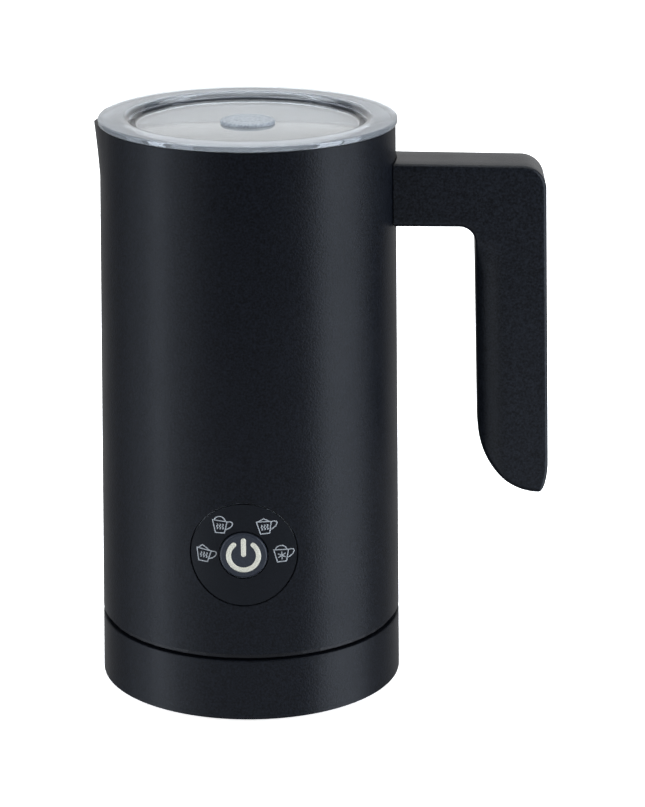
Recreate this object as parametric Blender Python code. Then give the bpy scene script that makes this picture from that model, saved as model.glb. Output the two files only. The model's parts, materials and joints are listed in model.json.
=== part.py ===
"""Milk frother: a cordless jug with a magnetically driven whisk on a powered base. Metres, +Z up.

The origin is the centre of the bounding box's bottom. The body axis is upright at x = AXIS_X, the handle
points to +X, the pouring lip to -X and the control panel to -Y. Every piece is modelled about the body axis
and hangs on its moving body's empty, which stands on that body's joint axis.
"""

import math

import bmesh
import bpy
from mathutils import Matrix, Vector

# Clearances and facets
GAP = 0.0003                    # between two pieces that touch
LARGE = 48                      # facets round the jug
MEDIUM = 28
SMALL = 14

# Outside of the jug and base: one slightly tapering cylinder
FOOT_TO_BASE = 0.0010           # table to the base cover's lower edge
BASE_TOP = 0.0219
SHELL_BOTTOM = 0.0242           # the groove lies between BASE_TOP and here
RIM_TOP = 0.1934
BOTTOM_RADIUS = 0.0516
TOP_RADIUS = 0.0490
SHELL_WALL = 0.0016
BASE_WALL = 0.0022
GROOVE_DEPTH = 0.0012

# Pouring lip
LIP_HALF_ANGLE = math.radians(21)
SHELL_LIP = (0.176, 0.0021)     # where it starts, how far it reaches at the rim
POT_LIP = (0.165, 0.0046)
LIP_EDGE_REACH = 0.0015

# Screws, which stand on their heads in clearance holes
SCREW_HEAD = 0.0028
SCREW_SHANK = 0.0014
SCREW_HOLE = 0.0017

# Base
PLATE = (0.0016, 0.0038)
FOOT_RADIUS = 0.005
FOOT_CIRCLE = 0.040
FOOT_TOP = 0.0024
BASE_SCREW_CIRCLE = 0.038
BASE_SCREW_ANGLES = (30, 150, 270)
BOSS_RADIUS = 0.0036
TOWER_RADIUS = 0.012
TOWER_TOP = 0.031
GLAND_HEIGHT = 0.0115
CORD_HOLE_RADIUS = 0.0031

# Jug inside
COVER_BOTTOM = BASE_TOP + GAP
COVER_SPIGOT = 0.0492
COVER_TOP = 0.032
COVER_SCREW_CIRCLE = 0.041
COVER_SCREW_ANGLES = (90, 210, 330)
WELL_RADIUS = 0.0142
CONTACT_TOP = 0.036
CONNECTOR = (0.0323, 0.040)
CHASSIS = (0.033, 0.0817)
CHASSIS_RADIUS = 0.0463
POT_RADIUS = 0.0415             # inside
POT_WALL = 0.0008
POT_FLOOR = 0.0828              # its upper face
POT_CORNER = 0.005
POT_EDGE = 0.0469
RIM_RING = (0.186, 0.1923)
HEATER = (0.022, 0.037, 0.0755, 0.0817)
MOTOR_RADIUS = 0.013
MOTOR = (0.0443, 0.0692)
SHAFT_RADIUS = 0.0012
CARRIER = (0.0742, 0.0802)
CARRIER_RADIUS = 0.016
DRIVE_MAGNET = (0.010, 0.004)   # circle and radius

# Whisk
PIN_RADIUS = 0.0015
PIN_TOP = 0.095
COIL_CIRCLE = 0.0174
COIL_RADIUS = 0.0031
COIL_HEIGHT = 0.0873
HUB_RADIUS = 0.0139
HUB_BOTTOM = 0.085
WHISK_MAGNET = (0.0088, 0.003)  # circle and radius

# Lid
LID = (0.1937, 0.1956)
LID_RADIUS = 0.0496
RECESS_TOP_RADIUS = 0.0406
RECESS_RADIUS = 0.0360
RECESS_DEPTH = 0.0022
SKIRT_BOTTOM = 0.1882
SKIRT_RADIUS = 0.0386
DISC_RADIUS = 0.0091

# Control panel and button
PANEL_HEIGHT = 0.0592
PANEL_RADIUS = 0.0175
PANEL_HOLE = 0.0181
BUTTON_RADIUS = 0.00775
BUTTON_FACE = 0.0514            # from the body axis
BUTTON_BACK = 0.0476
STEM_END = 0.0447
SWITCH_TOP = 0.0432

# Handle, measured from the body axis
ARM = (0.1603, 0.1810)
ARM_RISE = 0.0006               # the arm's top rises this much towards the jug
GRIP_TOP = (0.0756, 0.0988)     # inner and outer side under the arm
GRIP_LOW = (0.0774, 0.1014)     # the same where the lower end starts to curve
GRIP_LOW_HEIGHT = 0.0927
GRIP_OUTER_END = 0.0783
GRIP_TIP = (0.0985, 0.0678)
GRIP_SLOPE = (0.0100, 0.0055)   # along and across the slopes on both sides of the grip's inner face
GRIP_SLOPE_TOP = 0.148
HANDLE_HALF_WIDTH = 0.011
OUTER_CORNER = 0.0085
INNER_CORNER = 0.0054
HANDLE_EDGE = 0.0018
GASKET = (0.0003, 0.0010)       # outside the shell
HANDLE_ROOT = 0.0013
STRIP_HEIGHTS = (0.100, 0.152)
STRIP_HALF_WIDTH = 0.0042
STRIP_THICKNESS = 0.0022
GRIP_HOLLOW = 0.0165            # depth of the hollow behind the strip
HANDLE_SCREW_HEIGHTS = (0.166, 0.1755)

# The bounding box runs from the base to the handle, so this centres it on the origin
AXIS_X = (BOTTOM_RADIUS - GRIP_LOW[1]) / 2

ALONG_MINUS_Y = Matrix.Rotation(math.pi / 2, 4, "X")
ALONG_PLUS_Y = Matrix.Rotation(-math.pi / 2, 4, "X")
ALONG_PLUS_X = Matrix.Rotation(math.pi / 2, 4, "Y")
CUTTER_TWIST = Matrix.Rotation(math.radians(4), 4, "Z")

# Finishes: base colour, roughness, metallic
FINISHES = {
    "black_coat": ((0.016, 0.017, 0.020), 0.55, 0.0),
    "black_plastic": ((0.012, 0.012, 0.013), 0.50, 0.0),
    "panel_plastic": ((0.009, 0.009, 0.011), 0.35, 0.0),
    "button_plastic": ((0.032, 0.035, 0.045), 0.42, 0.0),
    "steel": ((0.62, 0.62, 0.60), 0.28, 1.0),
    "brass": ((0.72, 0.52, 0.22), 0.30, 1.0),
    "aluminium": ((0.75, 0.75, 0.76), 0.45, 1.0),
    "magnet": ((0.30, 0.30, 0.32), 0.30, 1.0),
    "copper": ((0.72, 0.33, 0.18), 0.35, 1.0),
    "rubber": ((0.02, 0.02, 0.02), 0.85, 0.0),
    "clear_plastic": ((0.86, 0.89, 0.92), 0.08, 0.0),
    "frosted_plastic": ((0.75, 0.76, 0.78), 0.60, 0.0),
    "board": ((0.02, 0.16, 0.06), 0.45, 0.0),
    "white_plastic": ((0.70, 0.69, 0.66), 0.50, 0.0),
}

bodies = {}


# ---------------------------------------------------------------- scene and objects

def clear_scene():
    for obj in list(bpy.data.objects):
        bpy.data.objects.remove(obj, do_unlink=True)


def add_body(name, parent=None, height=0.0):
    """An empty on the body axis, at the joint that moves the body."""
    empty = bpy.data.objects.new(name + "_body", None)
    bpy.context.scene.collection.objects.link(empty)
    empty.location = (AXIS_X, 0.0, height)
    if parent:
        empty.parent = bodies[parent]
        empty.location = (0.0, 0.0, height)
    bodies[name] = empty


def material(name, finish):
    colour, roughness, metallic = FINISHES[finish]
    made = bpy.data.materials.new(name)
    made.use_nodes = True
    shader = made.node_tree.nodes["Principled BSDF"]
    shader.inputs["Base Color"].default_value = (*colour, 1.0)
    shader.inputs["Roughness"].default_value = roughness
    shader.inputs["Metallic"].default_value = metallic
    return made


def add_piece(name, bm, body, finish, transform=None):
    """Turns a bmesh, modelled about the body axis, into a piece of that body."""
    if transform:
        bmesh.ops.transform(bm, matrix=transform, verts=bm.verts)
    mesh = bpy.data.meshes.new(name)
    bm.to_mesh(mesh)
    bm.free()
    mesh.shade_smooth()
    mesh.set_sharp_from_angle(angle=math.radians(35))
    obj = bpy.data.objects.new(name, mesh)
    bpy.context.scene.collection.objects.link(obj)
    obj.parent = bodies[body]
    mesh.materials.append(material(name, finish))
    return obj


def add_cutter(bm, body, transform=None):
    """A placed cutter is round, and twisted so that its facets miss the edges of what it cuts."""
    if transform:
        transform = transform @ CUTTER_TWIST
    cutter = add_piece("cutter", bm, body, "rubber", transform)
    cutter.hide_render = True
    cutter.display_type = "WIRE"
    return cutter


def combine(obj, cutter, operation="DIFFERENCE"):
    step = obj.modifiers.new(operation.lower(), "BOOLEAN")
    step.operation = operation
    step.solver = "EXACT"
    step.object = cutter
    return obj


def soften(obj, width, segments=2):
    step = obj.modifiers.new("edges", "BEVEL")
    step.width = width
    step.segments = segments
    step.limit_method = "ANGLE"
    step.angle_limit = math.radians(40)
    return obj


# ---------------------------------------------------------------- shapes

def outer_radius(height):
    """The tapering outside of the base and jug."""
    share = (height - FOOT_TO_BASE) / (RIM_TOP - FOOT_TO_BASE)
    return BOTTOM_RADIUS + share * (TOP_RADIUS - BOTTOM_RADIUS)


def fillet(centre, radius, start, end, steps=4):
    """Points of a round corner in a profile, angles in degrees."""
    points = []
    for step in range(steps + 1):
        angle = math.radians(start + (end - start) * step / steps)
        points.append((centre[0] + radius * math.cos(angle), centre[1] + radius * math.sin(angle)))
    return points


def join_rings(bm, lower, upper):
    """Faces between two neighbouring rings, either of which may be a single point on the axis."""
    if len(lower) == 1 and len(upper) == 1:
        return
    count = max(len(lower), len(upper))
    for step in range(count):
        after = (step + 1) % count
        corners = [lower[step % len(lower)], lower[after % len(lower)]]
        corners += [upper[after % len(upper)], upper[step % len(upper)]]
        bm.faces.new(list(dict.fromkeys(corners)))


def turn(profile, facets):
    """Closed solid of a closed (radius, height) profile turned about the axis."""
    bm = bmesh.new()
    rings = []
    for radius, height in profile:
        count = facets if radius > 0.0 else 1
        angles = [2 * math.pi * step / facets for step in range(count)]
        spots = [(radius * math.cos(a), radius * math.sin(a), height) for a in angles]
        rings.append([bm.verts.new(spot) for spot in spots])
    for lower, upper in zip(rings, rings[1:] + rings[:1]):
        join_rings(bm, lower, upper)
    bmesh.ops.recalc_face_normals(bm, faces=bm.faces)
    return bm


def tube(inner, outer, low, high, facets=SMALL):
    return turn([(inner, low), (outer, low), (outer, high), (inner, high)], facets)


def disc(radius, low, high, facets=SMALL):
    return turn([(0.0, low), (radius, low), (radius, high), (0.0, high)], facets)


def wall_band(outside, inside, low, high, facets=LARGE):
    """A band of the tapering wall, between two distances from the outer surface (outwards is positive)."""
    ends = (low, high)
    outer = [(outer_radius(height) + outside, height) for height in ends]
    inner = [(outer_radius(height) + inside, height) for height in reversed(ends)]
    return turn(outer + inner, facets)


def block(low, high):
    """A box between two corners."""
    bm = bmesh.new()
    low, high = Vector(low), Vector(high)
    size = high - low
    shape = Matrix.Translation((low + high) / 2) @ Matrix.Diagonal((*size, 1.0))
    bmesh.ops.create_cube(bm, size=1.0, matrix=shape)
    return bm


def prism(outline, half_width):
    """An (x, z) outline given depth along Y, the same each side of the middle plane."""
    bm = bmesh.new()
    front = [bm.verts.new((x, -half_width, z)) for x, z in outline]
    back = [bm.verts.new((x, half_width, z)) for x, z in outline]
    bm.faces.new(front)
    bm.faces.new(list(reversed(back)))
    for step in range(len(outline)):
        after = (step + 1) % len(outline)
        bm.faces.new((front[after], front[step], back[step], back[after]))
    bmesh.ops.recalc_face_normals(bm, faces=bm.faces)
    return bm


def on_circle(radius, degrees, height=0.0):
    angle = math.radians(degrees)
    return Matrix.Translation((radius * math.cos(angle), radius * math.sin(angle), height))


def lip_share(x, y, height, start):
    """How much of the pouring lip's reach a point of the wall takes: 1 at the tip, 0 away from it."""
    angle = math.pi - abs(math.atan2(y, x))
    across = max(0.0, 1.0 - angle / LIP_HALF_ANGLE) ** 1.5
    up = min(1.0, max(0.0, (height - start) / (RIM_TOP - start)))
    return across * up


def draw_lip(bm, start, inner_reach, outer_reach, divide=0.0):
    """Moves the wall outwards at the pouring lip. Points outside the radius divide take outer_reach."""
    for vert in bm.verts:
        radius = math.hypot(vert.co.x, vert.co.y)
        if radius == 0.0:
            continue
        reach = outer_reach if radius > divide else inner_reach
        share = lip_share(vert.co.x, vert.co.y, vert.co.z, start)
        grown = (radius + reach * share) / radius
        vert.co.x *= grown
        vert.co.y *= grown
    return bm


# ---------------------------------------------------------------- base

def base_cover():
    low, high = FOOT_TO_BASE, BASE_TOP
    deck = high - BASE_WALL
    edge = 0.0008
    profile = [(outer_radius(low) - BASE_WALL, low), (outer_radius(low) - 0.0004, low)]
    profile += [(outer_radius(low), low + 0.0004)]
    profile += fillet((outer_radius(high) - edge, high - edge), edge, 0, 90, 3)
    profile += [(TOWER_RADIUS + GAP, high), (TOWER_RADIUS + GAP, deck)]
    profile += [(outer_radius(deck) - BASE_WALL, deck)]
    cover = add_piece("base_cover", turn(profile, LARGE), "base", "black_coat")
    for degrees in BASE_SCREW_ANGLES:
        boss = tube(SCREW_HOLE, BOSS_RADIUS, PLATE[1] + GAP, deck + 0.0005)
        combine(cover, add_cutter(boss, "base", on_circle(BASE_SCREW_CIRCLE, degrees)), "UNION")
    hole = disc(0.0053, 0.044, 0.053)
    place = Matrix.Translation((0, 0, GLAND_HEIGHT)) @ ALONG_PLUS_Y
    combine(cover, add_cutter(hole, "base", place))


def base_plate():
    radius = outer_radius(FOOT_TO_BASE) - BASE_WALL - GAP
    plate = add_piece("base_plate", disc(radius, *PLATE, LARGE), "base", "black_plastic")
    for index in range(4):
        pocket = disc(FOOT_RADIUS + GAP, 0.0, FOOT_TOP + GAP)
        combine(plate, add_cutter(pocket, "base", on_circle(FOOT_CIRCLE, 45 + 90 * index)))
    for degrees in BASE_SCREW_ANGLES:
        hole = disc(SCREW_HOLE, 0.0, 2 * PLATE[1])
        combine(plate, add_cutter(hole, "base", on_circle(BASE_SCREW_CIRCLE, degrees)))


def feet():
    edge = 0.0004
    profile = [(0.0, 0.0), (FOOT_RADIUS - edge, 0.0), (FOOT_RADIUS, edge)]
    profile += [(FOOT_RADIUS, FOOT_TOP), (0.0, FOOT_TOP)]
    for index in range(4):
        place = on_circle(FOOT_CIRCLE, 45 + 90 * index)
        add_piece(f"foot_{index + 1}", turn(profile, SMALL), "base", "rubber", place)


def screw(head_height, length):
    """A pan-head screw standing on its head, from height 0."""
    edge = head_height / 3
    profile = [(0.0, 0.0), (SCREW_HEAD - edge, 0.0), (SCREW_HEAD, edge), (SCREW_HEAD, head_height)]
    profile += [(SCREW_SHANK, head_height), (SCREW_SHANK, length), (0.0, length)]
    return turn(profile, SMALL)


def base_screws():
    head_height = 0.0008
    for number, degrees in enumerate(BASE_SCREW_ANGLES, 1):
        place = on_circle(BASE_SCREW_CIRCLE, degrees, PLATE[0] - GAP - head_height)
        add_piece(f"base_screw_{number}", screw(head_height, 0.013), "base", "steel", place)


def base_connector():
    """Round tower on the base, with a bore for the jug's pin and a slot for its contact ring."""
    deck = BASE_TOP - BASE_WALL - GAP
    profile = [(0.0, 0.0135), (0.0105, 0.0135), (0.0105, 0.0169), (0.015, 0.0169), (0.015, deck)]
    profile += [(TOWER_RADIUS, deck), (TOWER_RADIUS, TOWER_TOP - 0.0008), (TOWER_RADIUS - 0.0008, TOWER_TOP)]
    profile += [(0.0082, TOWER_TOP), (0.0082, 0.018), (0.0056, 0.018), (0.0056, TOWER_TOP)]
    profile += [(0.0026, TOWER_TOP), (0.0026, 0.0165), (0.0, 0.0165)]
    add_piece("base_connector", turn(profile, MEDIUM), "base", "black_plastic")
    add_piece("base_contact_centre", disc(0.0022, 0.0168, 0.0186), "base", "brass")
    add_piece("base_contact_ring", tube(0.0059, 0.0079, 0.0183, 0.0196, MEDIUM), "base", "brass")


def cord_gland():
    """A rubber bush in the back wall, with the hole that a lead would come out of."""
    profile = [(CORD_HOLE_RADIUS, 0.0453), (0.0065, 0.0453), (0.0065, 0.0485), (0.005, 0.0485)]
    profile += [(0.005, 0.0512), (CORD_HOLE_RADIUS, 0.0512)]
    place = Matrix.Translation((0, 0, GLAND_HEIGHT)) @ ALONG_PLUS_Y
    add_piece("cord_gland", turn(profile, SMALL), "base", "rubber", place)


def make_base():
    base_cover()
    base_plate()
    feet()
    base_screws()
    base_connector()
    cord_gland()


# ---------------------------------------------------------------- contacts under the jug

def make_coupler():
    """The jug's contacts are round about the axis, so the jug can be set down at any angle."""
    pin = [(0.0, 0.0189), (0.0012, 0.0189), (0.0019, 0.0196), (0.0019, CONTACT_TOP), (0.0, CONTACT_TOP)]
    add_piece("contact_pin", turn(pin, SMALL), "coupler", "brass")
    add_piece("contact_ring", tube(0.0062, 0.0076, 0.0199, CONTACT_TOP, MEDIUM), "coupler", "brass")
    add_piece("earth_ring", tube(0.0126, 0.0134, 0.0240, CONTACT_TOP, MEDIUM), "coupler", "steel")


# ---------------------------------------------------------------- jug

def outer_shell():
    edge = 0.0004
    heights = (SHELL_BOTTOM + edge, SHELL_LIP[0], 0.182, 0.188, RIM_TOP - edge)
    outer = [(outer_radius(height), height) for height in heights]
    inner = [(radius - SHELL_WALL, height) for radius, height in reversed(outer)]
    top = outer_radius(RIM_TOP)
    low = outer_radius(SHELL_BOTTOM)
    profile = outer + [(top - edge, RIM_TOP), (top - SHELL_WALL + edge, RIM_TOP)]
    profile += inner + [(low - SHELL_WALL + edge, SHELL_BOTTOM), (low - edge, SHELL_BOTTOM)]
    bm = draw_lip(turn(profile, LARGE), SHELL_LIP[0], SHELL_LIP[1], SHELL_LIP[1])
    shell = add_piece("outer_shell", bm, "jug", "black_coat")
    window = disc(PANEL_HOLE, 0.040, 0.056, MEDIUM)
    place = Matrix.Translation((0, 0, PANEL_HEIGHT)) @ ALONG_MINUS_Y
    combine(shell, add_cutter(window, "jug", place))
    drill_for_handle(shell)


def drill_for_handle(obj):
    for height in HANDLE_SCREW_HEIGHTS:
        hole = disc(SCREW_HOLE, 0.0445, 0.0623)
        place = Matrix.Translation((0, 0, height)) @ ALONG_PLUS_X
        combine(obj, add_cutter(hole, "jug", place))


def bottom_cover():
    """Closes the jug below: a collar in the groove, a spigot in the shell, a well for the tower."""
    low = COVER_BOTTOM
    floor = low + 0.0022
    collar = outer_radius(low) - GROOVE_DEPTH
    collar_top = SHELL_BOTTOM - GAP
    wall = 0.002
    profile = [(WELL_RADIUS, low), (collar - 0.0004, low), (collar, low + 0.0004), (collar, collar_top)]
    profile += [(COVER_SPIGOT, collar_top), (COVER_SPIGOT, COVER_TOP), (COVER_SPIGOT - wall, COVER_TOP)]
    profile += [(COVER_SPIGOT - wall, floor), (WELL_RADIUS + wall, floor), (WELL_RADIUS + wall, COVER_TOP)]
    profile += [(WELL_RADIUS, COVER_TOP)]
    cover = add_piece("bottom_cover", turn(profile, LARGE), "jug", "black_plastic")
    shoulder = low + 0.0013
    counterbore = SCREW_HEAD + GAP
    hole = [(0.0, 0.0), (counterbore, 0.0), (counterbore, shoulder), (SCREW_HOLE, shoulder)]
    hole += [(SCREW_HOLE, 2 * low), (0.0, 2 * low)]
    for degrees in COVER_SCREW_ANGLES:
        combine(cover, add_cutter(turn(hole, SMALL), "jug", on_circle(COVER_SCREW_CIRCLE, degrees)))


def bottom_screws():
    for number, degrees in enumerate(COVER_SCREW_ANGLES, 1):
        place = on_circle(COVER_SCREW_CIRCLE, degrees, COVER_BOTTOM + 0.0001)
        add_piece(f"bottom_screw_{number}", screw(0.0009, 0.0125), "jug", "steel", place)


def jug_connector():
    """Housing of the contacts, with a slot for each of them."""
    low, high = CONNECTOR
    slot = CONTACT_TOP + GAP
    profile = [(0.0, slot), (0.0022, slot), (0.0022, low), (0.0059, low), (0.0059, slot), (0.0079, slot)]
    profile += [(0.0079, low), (0.0123, low), (0.0123, slot), (0.0137, slot), (0.0137, low)]
    profile += [(0.0177, low), (0.0177, high), (0.0, high)]
    add_piece("jug_connector", turn(profile, MEDIUM), "jug", "black_plastic")


def chassis():
    """Frame tube that carries the pot, open at the front for the board and its switch."""
    low, high = CHASSIS
    outer, inner = CHASSIS_RADIUS, CHASSIS_RADIUS - 0.0018
    profile = [(0.038, low), (outer, low), (outer, high), (0.0395, high), (0.0395, high - 0.002)]
    profile += [(inner, high - 0.002), (inner, low + 0.0025), (0.038, low + 0.0025)]
    frame = add_piece("chassis", turn(profile, LARGE), "jug", "white_plastic")
    combine(frame, add_cutter(block((-0.0203, -0.050, 0.0433), (0.0203, -0.036, 0.0751)), "jug"))
    for degrees in COVER_SCREW_ANGLES:
        hole = disc(SCREW_HOLE, low - 0.002, low + 0.0035)
        combine(frame, add_cutter(hole, "jug", on_circle(COVER_SCREW_CIRCLE, degrees)))


def inner_pot():
    """Stainless pot with a folded edge, drawn out to a pouring lip."""
    inside, outside = POT_RADIUS, POT_RADIUS + POT_WALL
    under = POT_FLOOR - POT_WALL
    lip_heights = (POT_LIP[0], 0.172, 0.179, 0.186)
    outer_corner = POT_CORNER + POT_WALL
    edge_low = RIM_RING[1] + GAP
    profile = [(0.0, under)]
    profile += fillet((inside - POT_CORNER, POT_FLOOR + POT_CORNER), outer_corner, -90, 0, 4)
    profile += [(outside, height) for height in lip_heights]
    profile += [(outside, edge_low - 0.0006), (outside + 0.0006, edge_low), (POT_EDGE, edge_low)]
    profile += [(POT_EDGE, RIM_TOP), (inside + 0.0008, RIM_TOP), (inside, RIM_TOP - 0.0008)]
    profile += [(inside, height) for height in reversed(lip_heights)]
    profile += fillet((inside - POT_CORNER, POT_FLOOR + POT_CORNER), POT_CORNER, 0, -90, 4)
    profile += [(0.0, POT_FLOOR)]
    bm = draw_lip(turn(profile, LARGE), POT_LIP[0], POT_LIP[1], LIP_EDGE_REACH, 0.044)
    add_piece("inner_pot", bm, "jug", "steel")


def rim_ring():
    """Plastic ring that joins the pot's edge to the shell."""
    low, high = RIM_RING
    inner = POT_RADIUS + POT_WALL + GAP
    outer = outer_radius(high) - SHELL_WALL - GAP
    profile = [(inner, low), (outer, low), (outer, high), (inner + 0.0006, high), (inner, high - 0.0006)]
    bm = draw_lip(turn(profile, LARGE), POT_LIP[0], POT_LIP[1], LIP_EDGE_REACH - 0.0001, 0.045)
    add_piece("rim_ring", bm, "jug", "black_plastic")


def whisk_pin():
    low = POT_FLOOR + GAP
    profile = [(0.0, low), (0.0045, low), (0.0045, low + 0.0006), (0.0040, low + 0.001)]
    profile += [(PIN_RADIUS, low + 0.001), (PIN_RADIUS, PIN_TOP - 0.0006), (0.0009, PIN_TOP), (0.0, PIN_TOP)]
    add_piece("whisk_pin", turn(profile, SMALL), "jug", "steel")


def heating_parts():
    inner, outer, low, high = HEATER
    edge = 0.0008
    profile = [(inner, low), (outer - edge, low), (outer, low + edge), (outer, high), (inner, high)]
    add_piece("heater_ring", turn(profile, MEDIUM), "jug", "aluminium")
    under = low - GAP
    profile = [(0.0, under - 0.007), (0.0045, under - 0.007), (0.0045, under - 0.003)]
    profile += [(0.0065, under - 0.003), (0.0065, under), (0.0, under)]
    add_piece("thermostat", turn(profile, SMALL), "jug", "white_plastic", on_circle(0.030, 60))
    fuse = disc(0.002, -0.006, 0.006)
    lying = on_circle(0.030, 120, under - 0.0021) @ ALONG_PLUS_X
    add_piece("thermal_fuse", fuse, "jug", "aluminium", lying)


def motor_housing():
    low, high = MOTOR
    hole = SHAFT_RADIUS + 0.0004
    inner = MOTOR_RADIUS - 0.001
    profile = [(inner, low), (MOTOR_RADIUS, low), (MOTOR_RADIUS, high - 0.0008)]
    profile += [(MOTOR_RADIUS - 0.0008, high), (hole, high), (hole, high - 0.0012), (inner, high - 0.0012)]
    add_piece("motor_can", turn(profile, MEDIUM), "jug", "steel")
    add_piece("motor_end_cap", tube(hole, MOTOR_RADIUS, 0.041, low - GAP, MEDIUM), "jug", "white_plastic")


def motor_bracket():
    low = MOTOR[1] + GAP
    bracket = add_piece("motor_bracket", block((-0.0435, -0.008, low), (0.0435, 0.008, low + 0.0015)),
                        "jug", "steel")
    combine(bracket, add_cutter(disc(0.0031, 0.06, 0.08), "jug"))


def circuit_board():
    board = block((-0.017, -0.0387, 0.046), (0.017, -0.0371, 0.072))
    add_piece("main_board", board, "jug", "board")
    half = 0.003
    switch = block((-half, -0.0423, PANEL_HEIGHT - half), (half, -0.0390, PANEL_HEIGHT + half))
    switch = add_piece("push_switch", switch, "jug", "black_plastic")
    place = Matrix.Translation((0, 0, PANEL_HEIGHT)) @ ALONG_MINUS_Y
    combine(switch, add_cutter(disc(0.0015, 0.041, SWITCH_TOP), "jug", place), "UNION")


def front_disc(name, outside, inside, radius, hole, finish):
    """A round piece of the wall at the panel's place, curved as the wall is."""
    half = radius + 0.002
    band = wall_band(outside, inside, PANEL_HEIGHT - half, PANEL_HEIGHT + half)
    piece = add_piece(name, band, "jug", finish)
    place = Matrix.Translation((0, 0, PANEL_HEIGHT)) @ ALONG_MINUS_Y
    combine(piece, add_cutter(tube(hole, radius, 0.040, 0.056, MEDIUM), "jug", place), "INTERSECT")


def control_panel():
    opening = BUTTON_RADIUS + GAP
    front_disc("control_panel", 0.0, -SHELL_WALL, PANEL_RADIUS, opening, "panel_plastic")
    light_guide = -SHELL_WALL - GAP
    front_disc("light_guide", light_guide, light_guide - 0.0015, 0.0198, opening, "frosted_plastic")


def handle_outline():
    """Side view of the handle: a level arm, a corner, and a grip that ends in a long curve."""
    inner_top, outer_top = GRIP_TOP
    inner_low, outer_low = GRIP_LOW
    low, high = ARM
    tip_x, tip_z = GRIP_TIP
    points = [(0.047, low), (0.047, high + ARM_RISE)]
    points += fillet((outer_top - OUTER_CORNER, high - OUTER_CORNER), OUTER_CORNER, 90, 0, 8)
    points += ellipse((tip_x, GRIP_OUTER_END), outer_low - tip_x, GRIP_OUTER_END - tip_z, 0, -90, 5)
    points += ellipse((tip_x, GRIP_LOW_HEIGHT), tip_x - inner_low, GRIP_LOW_HEIGHT - tip_z, -90, -180, 9)[1:]
    points += fillet((inner_top - INNER_CORNER, low - INNER_CORNER), INNER_CORNER, 0, 90, 5)
    return points


def ellipse(centre, half_x, half_z, start, end, steps):
    points = []
    for step in range(steps + 1):
        angle = math.radians(start + (end - start) * step / steps)
        points.append((centre[0] + half_x * math.cos(angle), centre[1] + half_z * math.sin(angle)))
    return points


def grip_inner_side(height):
    """The grip's inner side leans outwards on the way down."""
    top = ARM[0] - INNER_CORNER
    share = (top - height) / (top - GRIP_LOW_HEIGHT)
    return GRIP_TOP[0] + share * (GRIP_LOW[0] - GRIP_TOP[0])


def strip_outline(start, end, margin):
    """Side view of the strip in the grip, between two depths from the grip's inner side."""
    low, high = STRIP_HEIGHTS[0] + margin, STRIP_HEIGHTS[1] - margin
    bottom, top = grip_inner_side(low), grip_inner_side(high)
    return [(bottom + start, low), (bottom + end, low), (top + end, high), (top + start, high)]


def grip_slope(side):
    """A wedge that slopes off one side of the grip's inner face, which makes room for the fingers."""
    bm = bmesh.new()
    along, across = GRIP_SLOPE
    rings = []
    for height, less in ((0.060, 0.0), (GRIP_SLOPE_TOP - 0.008, 0.0), (GRIP_SLOPE_TOP, 1.0)):
        start = grip_inner_side(height) - less * along
        corners = [(-0.002, HANDLE_HALF_WIDTH - across * 1.2), (along * 1.2, HANDLE_HALF_WIDTH + across * 0.2),
                   (-0.002, HANDLE_HALF_WIDTH + across * 0.2)]
        rings.append([bm.verts.new((start + away, side * out, height)) for away, out in corners])
    for lower, upper in zip(rings, rings[1:]):
        join_rings(bm, lower, upper)
    bm.faces.new(rings[0])
    bm.faces.new(rings[-1])
    bmesh.ops.recalc_face_normals(bm, faces=bm.faces)
    return bm


def handle():
    body = add_piece("handle_body", prism(handle_outline(), HANDLE_HALF_WIDTH), "jug", "black_coat")
    soften(body, HANDLE_EDGE, 3)
    for side in (-1, 1):
        combine(body, add_cutter(grip_slope(side), "jug"))
    shell = wall_band(HANDLE_ROOT, -0.02, ARM[0] - 0.01, ARM[1] + 0.01)
    combine(body, add_cutter(shell, "jug"))
    hollow = prism(strip_outline(-0.001, GRIP_HOLLOW, 0.0), STRIP_HALF_WIDTH)
    combine(body, add_cutter(hollow, "jug"))
    drill_for_handle(body)
    strip = prism(strip_outline(0.0, STRIP_THICKNESS, GAP), STRIP_HALF_WIDTH - GAP)
    add_piece("handle_strip", strip, "jug", "black_plastic")


def handle_mounting():
    half = HANDLE_HALF_WIDTH - HANDLE_EDGE
    margin = 0.0012
    gasket = add_piece("handle_gasket", wall_band(GASKET[1], GASKET[0], ARM[0] - 0.01, ARM[1] + 0.01),
                       "jug", "rubber")
    window = block((0.045, -half, ARM[0] + margin), (0.055, half, ARM[1] - margin))
    combine(gasket, add_cutter(window, "jug"), "INTERSECT")
    drill_for_handle(gasket)
    plate_out = -SHELL_WALL - GAP
    plate = wall_band(plate_out, plate_out - 0.0014, 0.150, 0.185)
    bracket = add_piece("handle_bracket", plate, "jug", "steel")
    window = block((0.040, -0.008, 0.1612), (0.050, 0.008, 0.1803))
    combine(bracket, add_cutter(window, "jug"), "INTERSECT")
    drill_for_handle(bracket)
    for number, height in enumerate(HANDLE_SCREW_HEIGHTS, 1):
        place = Matrix.Translation((0.0439, 0, height)) @ ALONG_PLUS_X
        add_piece(f"handle_screw_{number}", screw(0.0018, 0.018), "jug", "steel", place)


def make_jug():
    outer_shell()
    bottom_cover()
    bottom_screws()
    jug_connector()
    chassis()
    inner_pot()
    rim_ring()
    whisk_pin()
    heating_parts()
    motor_housing()
    motor_bracket()
    circuit_board()
    control_panel()
    handle()
    handle_mounting()


# ---------------------------------------------------------------- motor's turning parts

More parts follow.
